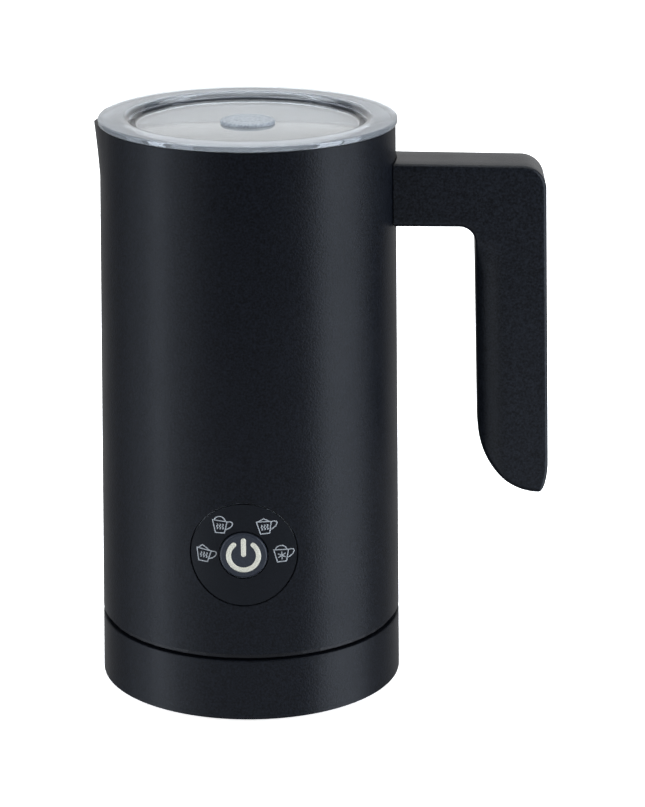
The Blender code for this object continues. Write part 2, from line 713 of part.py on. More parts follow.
def make_rotor():
    add_piece("motor_shaft", disc(SHAFT_RADIUS, 0.0408, 0.078), "rotor", "steel")
    add_piece("rotor_core", tube(SHAFT_RADIUS + GAP, 0.009, 0.048, 0.062, MEDIUM), "rotor", "copper")
    low, high = CARRIER
    pocket_floor = low + 0.0018
    circle, radius = DRIVE_MAGNET
    carrier = add_piece("magnet_carrier", tube(SHAFT_RADIUS + GAP, CARRIER_RADIUS, low, high, MEDIUM),
                        "rotor", "white_plastic")
    for number, degrees in ((1, 0), (2, 180)):
        pocket = disc(radius + GAP, pocket_floor, high + 0.001)
        combine(carrier, add_cutter(pocket, "rotor", on_circle(circle, degrees)))
        magnet = disc(radius, pocket_floor + GAP, high)
        add_piece(f"drive_magnet_{number}", magnet, "rotor", "magnet", on_circle(circle, degrees))


# ---------------------------------------------------------------- whisk

def make_whisk():
    bush = [(0.0, PIN_TOP + GAP), (0.0018, PIN_TOP + GAP), (0.0018, 0.0845), (0.0032, 0.0845)]
    bush += [(0.0032, 0.0966), (0.0, 0.0966)]
    add_piece("whisk_bush", turn(bush, SMALL), "whisk_lift", "steel")
    low = HUB_BOTTOM
    hub = [(0.0035, low), (HUB_RADIUS - 0.0005, low), (HUB_RADIUS, low + 0.0006), (HUB_RADIUS, 0.0888)]
    hub += [(HUB_RADIUS - 0.001, 0.0896), (0.0065, 0.0896), (0.0052, 0.0915), (0.0049, 0.0982)]
    hub += [(0.0036, 0.0995), (0.0, 0.0998), (0.0, 0.0969), (0.0035, 0.0969)]
    hub = add_piece("whisk_hub", turn(hub, MEDIUM), "whisk", "black_plastic")
    circle, radius = WHISK_MAGNET
    magnet_top = low + 0.0025
    for number, degrees in ((1, 0), (2, 180)):
        pocket = disc(radius + GAP, low - 0.001, magnet_top + GAP)
        combine(hub, add_cutter(pocket, "whisk", on_circle(circle, degrees)))
        magnet = disc(radius, low, magnet_top)
        add_piece(f"whisk_magnet_{number}", magnet, "whisk", "magnet", on_circle(circle, degrees))
    coil = fillet((COIL_CIRCLE, COIL_HEIGHT), COIL_RADIUS, 0, 360, 8)[:-1]
    add_piece("whisk_coil", turn(coil, MEDIUM), "whisk", "steel")


# ---------------------------------------------------------------- lid

def make_lid():
    low, high = LID
    floor = high - RECESS_DEPTH
    edge = 0.0006
    profile = [(0.0, floor - 0.0019), (SKIRT_RADIUS - 0.0014, floor - 0.0019)]
    profile += [(SKIRT_RADIUS - 0.0014, SKIRT_BOTTOM), (SKIRT_RADIUS, SKIRT_BOTTOM)]
    profile += [(SKIRT_RADIUS, low - 0.0018), (SKIRT_RADIUS + 0.0018, low), (LID_RADIUS - 0.0003, low)]
    profile += fillet((LID_RADIUS - edge, high - edge), edge, 0, 90, 3)
    profile += [(RECESS_TOP_RADIUS, high), (RECESS_RADIUS, floor), (0.0, floor)]
    add_piece("lid_disc", turn(profile, LARGE), "lid", "clear_plastic")
    seal = [(SKIRT_RADIUS + GAP, 0.1888), (0.0405, 0.1888), (POT_RADIUS - GAP, 0.1896), (0.0405, 0.1904)]
    seal += [(SKIRT_RADIUS + GAP, 0.1904)]
    add_piece("lid_seal", turn(seal, LARGE), "lid", "rubber")
    profile = [(0.0, floor + GAP), (DISC_RADIUS, floor + GAP), (DISC_RADIUS - 0.0002, floor + GAP + 0.0005)]
    profile += [(0.0, floor + GAP + 0.0005)]
    add_piece("lid_centre_disc", turn(profile, MEDIUM), "lid", "frosted_plastic")


# ---------------------------------------------------------------- button

def make_button():
    """The cap slides in its hole in the panel. Its body's empty is at the panel's height."""
    edge = 0.0007
    profile = [(0.0, STEM_END), (0.002, STEM_END), (0.002, BUTTON_BACK), (BUTTON_RADIUS, BUTTON_BACK)]
    profile += fillet((BUTTON_RADIUS - edge, BUTTON_FACE - edge), edge, 0, 90, 3)
    profile += [(0.0, BUTTON_FACE)]
    add_piece("power_button", turn(profile, MEDIUM), "button", "button_plastic", ALONG_MINUS_Y)


def main():
    clear_scene()
    add_body("base")
    add_body("coupler", "base")
    add_body("jug", "coupler")
    add_body("rotor", "jug")
    add_body("whisk_lift", "jug")
    add_body("whisk", "whisk_lift")
    add_body("lid", "jug")
    add_body("button", "jug", PANEL_HEIGHT)
    make_base()
    make_coupler()
    make_jug()
    make_rotor()
    make_whisk()
    make_lid()
    make_button()


main()
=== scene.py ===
"""Looks of the milk frother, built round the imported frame. Metres, in the frame's own axes."""

import json
import math

import bmesh
import bpy
from mathutils import Matrix, Vector
from mathutils.geometry import delaunay_2d_cdt


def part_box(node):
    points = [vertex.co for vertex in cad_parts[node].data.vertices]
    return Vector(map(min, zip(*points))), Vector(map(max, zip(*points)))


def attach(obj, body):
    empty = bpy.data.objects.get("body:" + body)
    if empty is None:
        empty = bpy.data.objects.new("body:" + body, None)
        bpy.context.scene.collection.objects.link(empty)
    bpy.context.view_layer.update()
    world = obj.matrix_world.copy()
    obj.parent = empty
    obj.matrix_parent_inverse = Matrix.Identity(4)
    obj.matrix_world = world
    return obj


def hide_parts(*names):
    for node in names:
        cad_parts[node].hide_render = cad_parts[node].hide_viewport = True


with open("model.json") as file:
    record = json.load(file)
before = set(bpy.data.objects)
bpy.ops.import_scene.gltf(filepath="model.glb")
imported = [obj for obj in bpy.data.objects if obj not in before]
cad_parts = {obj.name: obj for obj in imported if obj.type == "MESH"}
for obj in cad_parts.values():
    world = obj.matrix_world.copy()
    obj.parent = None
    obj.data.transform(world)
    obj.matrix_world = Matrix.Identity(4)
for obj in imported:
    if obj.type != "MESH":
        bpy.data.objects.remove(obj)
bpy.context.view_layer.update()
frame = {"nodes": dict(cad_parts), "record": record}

MM = 0.001

# -------------------- places read from the frame


def middle(node):
    low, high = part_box(node)
    return (low + high) / 2


def half_size(node):
    low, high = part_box(node)
    return (high - low) / 2


AXIS = middle("contact_ring").x
EDGE = 0.4 * MM                                   # the CAD wall's edge chamfer
BASE_LOW, BASE_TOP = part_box("base_cover")[0].z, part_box("base_cover")[1].z
SHELL_LOW, RIM_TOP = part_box("outer_shell")[0].z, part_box("outer_shell")[1].z
BASE_RADIUS = half_size("base_cover").y
SHELL_RADIUS = half_size("outer_shell").y
TAPER = (BASE_RADIUS - SHELL_RADIUS) / (SHELL_LOW - BASE_LOW)
PANEL_Z = middle("control_panel").z
PANEL_RADIUS = half_size("control_panel").x
BUTTON_RADIUS = half_size("power_button").x
GLAND_Z = middle("cord_gland").z
SHELL_WALL = 1.6 * MM
BASE_WALL = 2.2 * MM
GROOVE = 0.45 * MM                                # ring groove round the panel
BUTTON_GAP = 0.5 * MM
BUTTON_DISH = 0.12 * MM

COLUMNS = 256                                     # facets round the jug
FRONT, BACK, LIP_SIDE = -math.pi / 2, math.pi / 2, math.pi
LIP_HALF_ANGLE = math.radians(21)
LIP_ROWS = 12
SHELL_LIP_START, SHELL_LIP_REACH = 0.176, 2.1 * MM
POT_LIP_START, POT_LIP_REACH, POT_EDGE_REACH = 0.165, 4.6 * MM, 1.5 * MM


def wall_radius(height):
    """Outside of the base and jug, a slight taper through the two CAD walls."""
    return SHELL_RADIUS - TAPER * (height - SHELL_LOW - EDGE)


def lip_share(angle, height, start, power=1.35):
    """1 at the pouring lip's tip, 0 away from it."""
    away = abs(math.remainder(angle - LIP_SIDE, 2 * math.pi))
    across = max(0.0, 1.0 - away / LIP_HALF_ANGLE) ** power
    up = min(1.0, max(0.0, (height - start) / (RIM_TOP - start)))
    return across * up


# -------------------- mesh building

def place(angle, radius, height):
    return (AXIS + radius * math.cos(angle), radius * math.sin(angle), height)


def arc(centre, radius, start, end, steps):
    """Points of a round corner in a profile, angles in degrees."""
    points = []
    for step in range(steps + 1):
        angle = math.radians(start + (end - start) * step / steps)
        points.append((centre[0] + radius * math.cos(angle), centre[1] + radius * math.sin(angle)))
    return points


def turn(profile, columns=96, closed=True, shape=None):
    """A (radius, height) profile turned about the jug's axis. shape(angle, radius, height) may move it."""
    bm = bmesh.new()
    rings = []
    for radius, height in profile:
        if radius < 1e-7:
            rings.append([bm.verts.new((AXIS, 0.0, height))])
            continue
        ring = []
        for column in range(columns):
            angle = 2 * math.pi * column / columns
            moved = shape(angle, radius, height) if shape else radius
            ring.append(bm.verts.new(place(angle, moved, height)))
        rings.append(ring)
    join_rows(bm, rings + rings[:1] if closed else rings)
    bmesh.ops.recalc_face_normals(bm, faces=bm.faces)
    return bm


def join(bm, lower, upper):
    if len(lower) == 1 and len(upper) == 1:
        return
    count = max(len(lower), len(upper))
    for step in range(count):
        after = (step + 1) % count
        corners = [lower[step % len(lower)], lower[after % len(lower)]]
        corners += [upper[after % len(upper)], upper[step % len(upper)]]
        bm.faces.new(list(dict.fromkeys(corners)))


def join_rows(bm, rows):
    for lower, upper in zip(rows, rows[1:]):
        join(bm, lower, upper)


def skin_with_window(rows, first, last, window_angle, hole_radius, shape=None):
    """An open skin of (radius, height) rows with a round hole in the middle of rows first to last.

    Those rows are as far apart as the columns are, so the square that they make round the hole has the same
    number of steps on each side, and rings of faces join it to the hole.
    """
    bm = bmesh.new()
    half = (last - first) // 2
    middle_row = first + half
    middle_column = round(window_angle / (2 * math.pi) * COLUMNS)
    step = 2 * math.pi / COLUMNS
    grid = {}

    def offset(column):
        return (column - middle_column + COLUMNS // 2) % COLUMNS - COLUMNS // 2

    for row, (radius, height) in enumerate(rows):
        for column in range(COLUMNS):
            inside = abs(row - middle_row) < half and abs(offset(column)) < half
            if not inside:
                moved = shape(column * step, radius, height) if shape else radius
                grid[row, column] = bm.verts.new(place(column * step, moved, height))
    for row in range(len(rows) - 1):
        for column in range(COLUMNS):
            if first <= row < last and -half <= offset(column) < half:
                continue
            after = (column + 1) % COLUMNS
            bm.faces.new((grid[row, column], grid[row, after], grid[row + 1, after], grid[row + 1, column]))
    walk = square_walk(half)
    border = [grid[middle_row + v, (middle_column + u) % COLUMNS] for u, v in walk]
    join_hole(bm, border, walk, rows[middle_row], middle_column * step, hole_radius)
    bmesh.ops.recalc_face_normals(bm, faces=bm.faces)
    return bm


def square_walk(half):
    """Once round the border of a square of steps, from its lower left corner."""
    side = range(2 * half)
    walk = [(-half + i, -half) for i in side] + [(half, -half + i) for i in side]
    return walk + [(half - i, half) for i in side] + [(-half, half - i) for i in side]


def join_hole(bm, border, walk, centre, angle, hole_radius, rings=6):
    """Rings of faces from a square border to a round hole, on the tapered wall."""
    reference, hole_height = centre
    spacing = reference * 2 * math.pi / COLUMNS
    ring = border
    for number in range(1, rings + 1):
        share = number / rings
        inner = []
        for u, v in walk:
            turned = math.atan2(v, u)
            across = reference * math.asin(hole_radius * math.cos(turned) / reference)
            up = hole_radius * math.sin(turned)
            arc_at = u * spacing * (1 - share) + across * share
            height = hole_height + v * spacing * (1 - share) + up * share
            inner.append(bm.verts.new(place(angle + arc_at / reference, wall_radius(height), height)))
        join(bm, ring, inner)
        ring = inner


def wall_disc(inner, outer, height, angle, rings=6, columns=144):
    """A round piece of the wall's surface, between two radii about a point of the wall."""
    bm = bmesh.new()
    loops = []
    for number in range(rings + 1):
        radius = inner + (outer - inner) * number / rings
        loop = []
        for column in range(columns):
            turned = 2 * math.pi * column / columns
            z = height + radius * math.sin(turned)
            body = wall_radius(z)
            across = math.asin(radius * math.cos(turned) / body)
            loop.append(bm.verts.new(place(angle + across, body, z)))
        loops.append(loop)
    join_rows(bm, loops)
    bmesh.ops.recalc_face_normals(bm, faces=bm.faces)
    flip_towards(bm, Vector((math.cos(angle), math.sin(angle), 0.0)))
    return bm


def flip_towards(bm, direction):
    """Makes an open skin face a direction."""
    total = Vector((0.0, 0.0, 0.0))
    for face in bm.faces:
        total += face.normal * face.calc_area()
    if total.dot(direction) < 0:
        bmesh.ops.reverse_faces(bm, faces=bm.faces)


def away_from_axis(bm):
    """Makes an open turned skin face outwards."""
    total = 0.0
    for face in bm.faces:
        centre = face.calc_center_median()
        out = Vector((centre.x - AXIS, centre.y, 0.0))
        total += face.normal.dot(out) * face.calc_area()
    if total < 0:
        bmesh.ops.reverse_faces(bm, faces=bm.faces)


def spaced(points, step, closed=True):
    """An outline with extra points on its long edges."""
    made = []
    for start, end in zip(points, points[1:] + points[:1] if closed else points[1:]):
        pieces = max(1, math.ceil(math.dist(start, end) / step))
        for piece in range(pieces):
            share = piece / pieces
            made.append((start[0] + share * (end[0] - start[0]), start[1] + share * (end[1] - start[1])))
    return made if closed else made + [points[-1]]


def circle(centre, radius, columns):
    angles = [2 * math.pi * column / columns for column in range(columns)]
    return [(centre[0] + radius * math.cos(a), centre[1] + radius * math.sin(a)) for a in angles]


def fill(outlines, inside=()):
    """Triangles between closed outlines, the first outside and the others holes, through inside points."""
    spots, edges = [], []
    for outline in outlines:
        first = len(spots)
        spots += [Vector(spot) for spot in outline]
        edges += [(first + i, first + (i + 1) % len(outline)) for i in range(len(outline))]
    spots += [Vector(spot) for spot in inside]
    flat = delaunay_2d_cdt(spots, edges, [], 2, 1e-9)
    return flat[0], flat[2]


def fill_level(bm, outlines, height):
    """A level face between outlines, at a height."""
    spots, faces = fill(outlines)
    verts = [bm.verts.new((x, y, height)) for x, y in spots]
    for face in faces:
        bm.faces.new([verts[corner] for corner in face])


def slab(outlines, low, high):
    """A flat plate with holes: outlines given depth from low to high."""
    bm = bmesh.new()
    for outline in outlines:
        rings = [[bm.verts.new((x, y, height)) for x, y in outline] for height in (low, high)]
        join(bm, *rings)
    for height in (low, high):
        fill_level(bm, outlines, height)
    bmesh.ops.remove_doubles(bm, verts=bm.verts, dist=1e-7)
    bmesh.ops.recalc_face_normals(bm, faces=bm.faces)
    return bm


def meridian(node, sideways):
    """The profile of a turned CAD node about its own upright axis, read from its mesh."""
    obj = frame["nodes"][node]
    centre = middle(node)
    mesh = obj.data
    spots = [obj.matrix_world @ vert.co for vert in mesh.vertices]

    def key(index):
        away = spots[index] - centre
        along, across = (away.y, away.x) if sideways else (away.x, away.y)
        if abs(across) > 2e-6 or along < -2e-6:
            return None
        return round(along, 6) + 0.0, round(spots[index].z, 6)

    links = {}
    for face in mesh.polygons:
        for pair in face.edge_keys:
            ends = [key(index) for index in pair]
            if None in ends or abs(ends[0][1] - ends[1][1]) < 1e-6:
                continue
            links.setdefault(ends[0], set()).add(ends[1])
            links.setdefault(ends[1], set()).add(ends[0])
    for height in {spot[1] for spot in links}:
        loose = sorted((spot for spot in links if spot[1] == height and len(links[spot]) == 1), reverse=True)
        if len(loose) % 2:
            loose.append((0.0, height))
        for outer, inner in zip(loose[::2], loose[1::2]):
            links[outer].add(inner)
            links.setdefault(inner, set()).add(outer)
    start = min(links)
    walk = [start]
    while True:
        ahead = [spot for spot in sorted(links[walk[-1]]) if spot not in walk]
        if not ahead:
            return walk
        walk.append(ahead[0])


def refine(node, body, slot, width, columns=96, sideways=False):
    """A turned CAD node again, with more facets and rounded edges."""
    centre = middle(node)
    bm = turn(meridian(node, sideways), columns)
    bmesh.ops.translate(bm, vec=(centre.x - AXIS, centre.y, 0.0), verts=bm.verts)
    piece = make(node + "_fine", bm, body, slot, node)
    round_edges(piece, width, 2)


def make(name, bm, body, slot, replaces=None, angle=40, look=None):
    """Turns a bmesh into a piece that rides on a body. It has its slot's look if no other one is named."""
    mesh = bpy.data.meshes.new(name)
    bm.to_mesh(mesh)
    bm.free()
    mesh.shade_smooth()
    mesh.set_sharp_from_angle(angle=math.radians(angle))
    piece = bpy.data.objects.new(name, mesh)
    bpy.context.scene.collection.objects.link(piece)
    mesh.materials.append(looks[look or slot])
    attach(piece, body)
    if replaces:
        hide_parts(replaces)
    return piece


def thicken(piece, thickness):
    step = piece.modifiers.new("wall", "SOLIDIFY")
    step.thickness = thickness
    step.offset = -1.0
    step.use_even_offset = True


def round_edges(piece, width, segments=3, angle=50):
    step = piece.modifiers.new("edges", "BEVEL")
    step.width = width
    step.segments = segments
    step.limit_method = "ANGLE"
    step.angle_limit = math.radians(angle)
    step.harden_normals = True


# -------------------- materials

def start_look(name, colour, roughness, metallic=0.0):
    look = bpy.data.materials.new(name)
    look.use_nodes = True
    tree = look.node_tree
    shader = tree.nodes["Principled BSDF"]
    shader.inputs["Base Color"].default_value = (*colour, 1.0)
    shader.inputs["Roughness"].default_value = roughness
    shader.inputs["Metallic"].default_value = metallic
    coords = tree.nodes.new("ShaderNodeTexCoord")
    return look, tree, shader, coords.outputs["Object"]


def add_node(tree, kind, inputs, operation=None):
    """Adds a shader node. Its inputs are values, or the sockets that are linked to them."""
    node = tree.nodes.new("ShaderNode" + kind)
    if operation:
        node.operation = operation
    for name, value in inputs.items():
        if isinstance(value, bpy.types.NodeSocket):
            tree.links.new(value, node.inputs[name])
        else:
            node.inputs[name].default_value = value
    return node


def noise(tree, coords, scale, detail=3.0):
    inputs = {"Vector": coords, "Scale": scale, "Detail": detail, "Roughness": 0.55}
    return add_node(tree, "TexNoise", inputs).outputs["Fac"]


def spread(tree, value, low, high):
    """Maps a noise's middle range to low..high."""
    inputs = {"Value": value, "From Min": 0.3, "From Max": 0.7, "To Min": low, "To Max": high}
    return add_node(tree, "MapRange", inputs).outputs["Result"]


def paint(tree, shader, value, stops):
    """Base colour by (position, colour) stops along a value from 0 to 1."""
    ramp = add_node(tree, "ValToRGB", {"Fac": value})
    while len(ramp.color_ramp.elements) < len(stops):
        ramp.color_ramp.elements.new(0.5)
    for element, (position, colour) in zip(ramp.color_ramp.elements, stops):
        element.position = position
        element.color = (*colour, 1.0)
    tree.links.new(ramp.outputs["Color"], shader.inputs["Base Color"])


def tint(tree, shader, value, colour, darkest, lightest):
    """Base colour between a darker and a lighter tone, by a noise."""
    dark, light = [[min(1.0, part * tone) for part in colour] for tone in (darkest, lightest)]
    paint(tree, shader, value, ((0.3, dark), (0.7, light)))


def bump(tree, shader, value, depth, strength=1.0):
    node = add_node(tree, "Bump", {"Height": value, "Distance": depth, "Strength": strength})
    tree.links.new(node.outputs["Normal"], shader.inputs["Normal"])


def from_axis(tree, coords):
    """The place seen from the jug's axis, and its distance from it."""
    away = add_node(tree, "VectorMath", {0: coords, 1: (AXIS, 0.0, 0.0)}, "SUBTRACT").outputs["Vector"]
    level = add_node(tree, "VectorMath", {0: away, 1: (1.0, 1.0, 0.0)}, "MULTIPLY").outputs["Vector"]
    return away, add_node(tree, "VectorMath", {0: level}, "LENGTH").outputs["Value"]


def ring_coords(tree, coords, across, along):
    """Coordinates that change fast with radius and height and slowly round the jug's axis."""
    away, radius = from_axis(tree, coords)
    split = add_node(tree, "SeparateXYZ", {"Vector": away}).outputs
    turned = add_node(tree, "Math", {0: split["Y"], 1: split["X"]}, "ARCTAN2").outputs["Value"]
    scaled = []
    for value, scale in ((radius, across), (split["Z"], across), (turned, along)):
        scaled.append(add_node(tree, "Math", {0: value, 1: scale}, "MULTIPLY").outputs["Value"])
    return add_node(tree, "CombineXYZ", dict(zip("XYZ", scaled))).outputs["Vector"]


def ring_painted_shade(tree, shader, coords, stops):
    """Base colour by the distance from the jug's axis, in (distance, colour) stops: painted shade by radius.
    """
    radius = from_axis(tree, coords)[1]
    near, far = stops[0][0], stops[-1][0]
    share = add_node(tree, "MapRange", {"Value": radius, "From Min": near, "From Max": far}).outputs["Result"]
    paint(tree, shader, share, [((distance - near) / (far - near), colour) for distance, colour in stops])


def coated(name, colour, roughness, grain=1700.0, depth=0.045 * MM, specular=0.5, tones=(0.72, 1.35)):
    """Dark powder coat or grained plastic: fine pebbling, slight changes of tone and gloss."""
    look, tree, shader, coords = start_look(name, colour, roughness)
    shader.inputs["Specular IOR Level"].default_value = specular
    fine = noise(tree, coords, grain, 2.0)
    broad = noise(tree, coords, 45.0)
    tint(tree, shader, fine, colour, *tones)
    tree.links.new(spread(tree, broad, roughness - 0.03, roughness + 0.03), shader.inputs["Roughness"])
    bump(tree, shader, fine, depth)
    return look


def brushed(name, colour, roughness, lines=9000.0):
    """Metal with fine rings round the jug's axis."""
    look, tree, shader, coords = start_look(name, colour, roughness, 1.0)
    rings = noise(tree, ring_coords(tree, coords, lines, 3.0), 1.0, 2.0)
    cloud = noise(tree, coords, 60.0)
    tint(tree, shader, cloud, colour, 0.93, 1.05)
    tree.links.new(spread(tree, rings, roughness - 0.06, roughness + 0.08), shader.inputs["Roughness"])
    bump(tree, shader, rings, 0.004 * MM)
    return look


def cast_metal(name, colour, roughness, grain=900.0):
    """Metal with a fine even grain."""
    look, tree, shader, coords = start_look(name, colour, roughness, 1.0)
    fine = noise(tree, coords, grain, 4.0)
    tint(tree, shader, fine, colour, 0.8, 1.1)
    tree.links.new(spread(tree, fine, roughness - 0.08, roughness + 0.08), shader.inputs["Roughness"])
    bump(tree, shader, fine, 0.02 * MM)
    return look


def clear(name, colour, roughness):
    """Clear moulded plastic, a little hazy, with faint flow marks and hairline scuffs.

    Painted shade: its colour is painted near black on the dished wall and painted grey on the thick flange.
    """
    look, tree, shader, coords = start_look(name, colour, roughness)
    shader.inputs["Transmission Weight"].default_value = 0.87
    shader.inputs["IOR"].default_value = 1.49
    # painted shade: clear in the middle, near black on the dished wall, darker grey on the flange
    ring_painted_shade(tree, shader, coords, ((35.0 * MM, colour), (36.7 * MM, colour),
                                     (37.2 * MM, (0.08, 0.09, 0.11)), (39.9 * MM, (0.13, 0.145, 0.165)),
                                     (41.8 * MM, (0.56, 0.60, 0.64)), (50.0 * MM, (0.66, 0.70, 0.74))))
    flow = noise(tree, coords, 55.0, 2.0)
    scuff = noise(tree, coords, 700.0, 4.0)
    tree.links.new(spread(tree, scuff, roughness * 0.6, roughness * 1.6), shader.inputs["Roughness"])
    bump(tree, shader, flow, 0.05 * MM, 0.4)
    return look


GRAIN = (1500.0, 0.075 * MM)                      # the black coat's pebbling: pebbles per metre, depth
COATED = {                                        # colour, roughness, then what differs from plain plastic
    "black_coat": ((0.0028, 0.0034, 0.0050), 0.35, *GRAIN, 0.09, (0.25, 1.9)),
    # painted light: the black coat again, made lighter on the handle to stand in for light the lamps don't
    # give it
    "handle_coat": ((0.0058, 0.0068, 0.0091), 0.31, *GRAIN, 0.11, (0.3, 1.8)),
    "black_plastic": ((0.004, 0.004, 0.005), 0.45, 1800.0, 0.045 * MM, 0.15),
    "panel_plastic": ((0.0030, 0.0037, 0.0053), 0.38, 2600.0, 0.045 * MM, 0.10),
    "button_plastic": ((0.013, 0.0155, 0.0215), 0.34, 2600.0, 0.045 * MM, 0.2),
    "rubber": ((0.022, 0.022, 0.022), 0.75, 1500.0, 0.03 * MM),
    "frosted_plastic": ((0.26, 0.28, 0.30), 0.42, 1500.0, 0.01 * MM),
    "board": ((0.02, 0.15, 0.06), 0.35, 400.0),
    "white_plastic": ((0.70, 0.69, 0.66), 0.50, 1500.0),
    "print_cream": ((0.46, 0.44, 0.36), 0.5, 3000.0, 0.005 * MM, 0.2),
    "print_grey": ((0.25, 0.26, 0.265), 0.5, 3000.0, 0.005 * MM, 0.2),
}
BRUSHED = {
    "steel": ((0.66, 0.66, 0.64), 0.24),
    # painted shade: the steel made far darker, for the pot's rim seen under the lid's flange
    "steel_rim": ((0.20, 0.20, 0.205), 0.42),
}
CAST = {
    "brass": ((0.75, 0.55, 0.25), 0.30, 1500.0),
    "aluminium": ((0.75, 0.75, 0.76), 0.42),
    "magnet": ((0.42, 0.42, 0.43), 0.22, 1500.0),
    "iron": ((0.42, 0.24, 0.14), 0.42),
    "steel_wire": ((0.66, 0.66, 0.64), 0.22, 1200.0),
    "steel_screw": ((0.60, 0.60, 0.58), 0.30, 1200.0),
}
CLEAR = {"clear_plastic": ((0.95, 0.98, 1.0), 0.05)}


def make_looks():
    made = {}
    for kind, table in ((coated, COATED), (brushed, BRUSHED), (cast_metal, CAST), (clear, CLEAR)):
        for name, values in table.items():
            made[name] = kind(name, *values)
    return made


looks = make_looks()


def finish_cad_nodes():
    """Every CAD node that stays gets its slot's material."""
    slots = {part["node"]: part["material_slot"] for part in frame["record"]["subparts"]}
    for name, node in frame["nodes"].items():
        node.data.materials.clear()
        node.data.materials.append(looks[slots[name]])


# -------------------- base

def window_rows(centre, half, radius):
    spacing = radius * 2 * math.pi / COLUMNS
    return [centre + step * spacing for step in range(-half, half + 1)]


def make_base():
    edge, hole, half = 0.4 * MM, 5.2 * MM, 6
    levels = window_rows(GLAND_Z, half, wall_radius(GLAND_Z))
    rows = [(wall_radius(BASE_LOW + EDGE), BASE_LOW), (wall_radius(levels[0]), BASE_LOW + 1.6 * MM)]
    first = len(rows)
    rows += [(wall_radius(level), level) for level in levels]
    last = len(rows) - 1
    corner = (wall_radius(BASE_TOP) - edge, BASE_TOP - edge)
    rows += arc(corner, edge, 0, 90, 6)
    rows += [(corner[0] - 0.4 * MM, BASE_TOP), (30 * MM, BASE_TOP), (12.5 * MM, BASE_TOP)]
    bm = skin_with_window(rows, first, last, BACK, hole)
    away_from_axis(bm)
    cover = make("base_housing", bm, "base", "black_coat", "base_cover", 45)
    thicken(cover, BASE_WALL)
    round_edges(cover, 0.3 * MM)


# -------------------- jug

def between(start, end, steps):
    """Even steps from start, which is left out, to end."""
    return [start + (end - start) * step / steps for step in range(1, steps + 1)]


def make_shell():
    half = 18
    levels = window_rows(PANEL_Z, half, wall_radius(PANEL_Z))
    heights = [SHELL_LOW, SHELL_LOW + 2 * MM, SHELL_LOW + 6 * MM]
    first = len(heights)
    heights += levels
    last = len(heights) - 1
    heights += between(levels[-1], SHELL_LIP_START, 10) + between(SHELL_LIP_START, RIM_TOP, LIP_ROWS)
    rows = [(wall_radius(height), height) for height in heights]

    def lip(angle, radius, height):
        return radius + SHELL_LIP_REACH * lip_share(angle, height, SHELL_LIP_START)

    bm = skin_with_window(rows, first, last, FRONT, PANEL_RADIUS + GROOVE, lip)
    away_from_axis(bm)
    shell = make("jug_shell", bm, "jug", "black_coat", "outer_shell", 45)
    thicken(shell, SHELL_WALL)
    round_edges(shell, 0.12 * MM)


def make_panel():
    bm = wall_disc(BUTTON_RADIUS + BUTTON_GAP, PANEL_RADIUS, PANEL_Z, FRONT)
    panel = make("panel_face", bm, "jug", "panel_plastic", "control_panel", 45)
    thicken(panel, 0.7 * MM)
    round_edges(panel, 0.04 * MM)


# -------------------- button

def make_button():
    face = -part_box("power_button")[0].y
    stem_end = -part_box("power_button")[1].y
    back = face - 2.95 * MM
    edge = 0.7 * MM
    profile = [(0.0, stem_end), (2.0 * MM, stem_end), (2.0 * MM, back), (BUTTON_RADIUS - 0.2 * MM, back)]
    profile += [(BUTTON_RADIUS, back + 0.2 * MM)]
    profile += arc((BUTTON_RADIUS - edge, face - edge), edge, 0, 90, 6)
    profile += [(BUTTON_RADIUS * share, face - BUTTON_DISH * (1 - share ** 2)) for share in (0.85, 0.6, 0.3)]
    profile += [(0.0, face - BUTTON_DISH)]
    bm = turn_about_y(profile, 96)
    make("button_cap", bm, "button", "button_plastic", "power_button")


def turn_about_y(profile, columns, height=None):
    """A (radius, distance in front of the axis) profile turned about the button's axis."""
    bm = turn(profile, columns)
    centre = Matrix.Translation((AXIS, 0.0, PANEL_Z if height is None else height))
    turned = centre @ Matrix.Rotation(math.pi / 2, 4, "X") @ Matrix.Translation((-AXIS, 0.0, 0.0))
    bmesh.ops.transform(bm, matrix=turned, verts=bm.verts)
    return bm


# -------------------- lid

RECESS = 2.6 * MM                                 # depth of the lid's dished middle


def make_lid():
    low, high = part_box("lid_disc")[0].z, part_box("lid_disc")[1].z
    radius = half_size("lid_disc").y
    under = high - 1.9 * MM
    floor = high - RECESS
    skirt = 38.6 * MM
    profile = [(0.0, floor - 1.9 * MM), (skirt - 2.0 * MM, floor - 1.9 * MM)]
    profile += arc((skirt - 2.0 * MM, floor - 2.5 * MM), 0.6 * MM, 90, 0, 3)[1:]
    profile += [(skirt - 1.4 * MM, low + 0.3 * MM), (skirt - 1.1 * MM, low), (skirt - 0.3 * MM, low)]
    profile += [(skirt, low + 0.3 * MM)]
    profile += arc((skirt + 1.2 * MM, under - 1.2 * MM), 1.2 * MM, 180, 90, 5)
    profile += [(radius - 0.5 * MM, under)]
    profile += arc((radius - 0.35 * MM, under + 0.35 * MM), 0.35 * MM, -90, 0, 4)[1:]
    profile += arc((radius - 0.7 * MM, high - 0.7 * MM), 0.7 * MM, 0, 90, 6)
    shoulder = 4.5 * MM
    profile += [(45.0 * MM, high - 0.02 * MM)]
    profile += arc((42.0 * MM, high - shoulder), shoulder, 90, 153, 14)
    profile += arc((37.0 * MM, floor + 0.6 * MM), 0.6 * MM, -27, -90, 5)
    profile += [(20.0 * MM, floor), (0.0, floor)]
    bm = turn(profile, COLUMNS)
    make("lid_clear", bm, "lid", "clear_plastic", "lid_disc", 50)


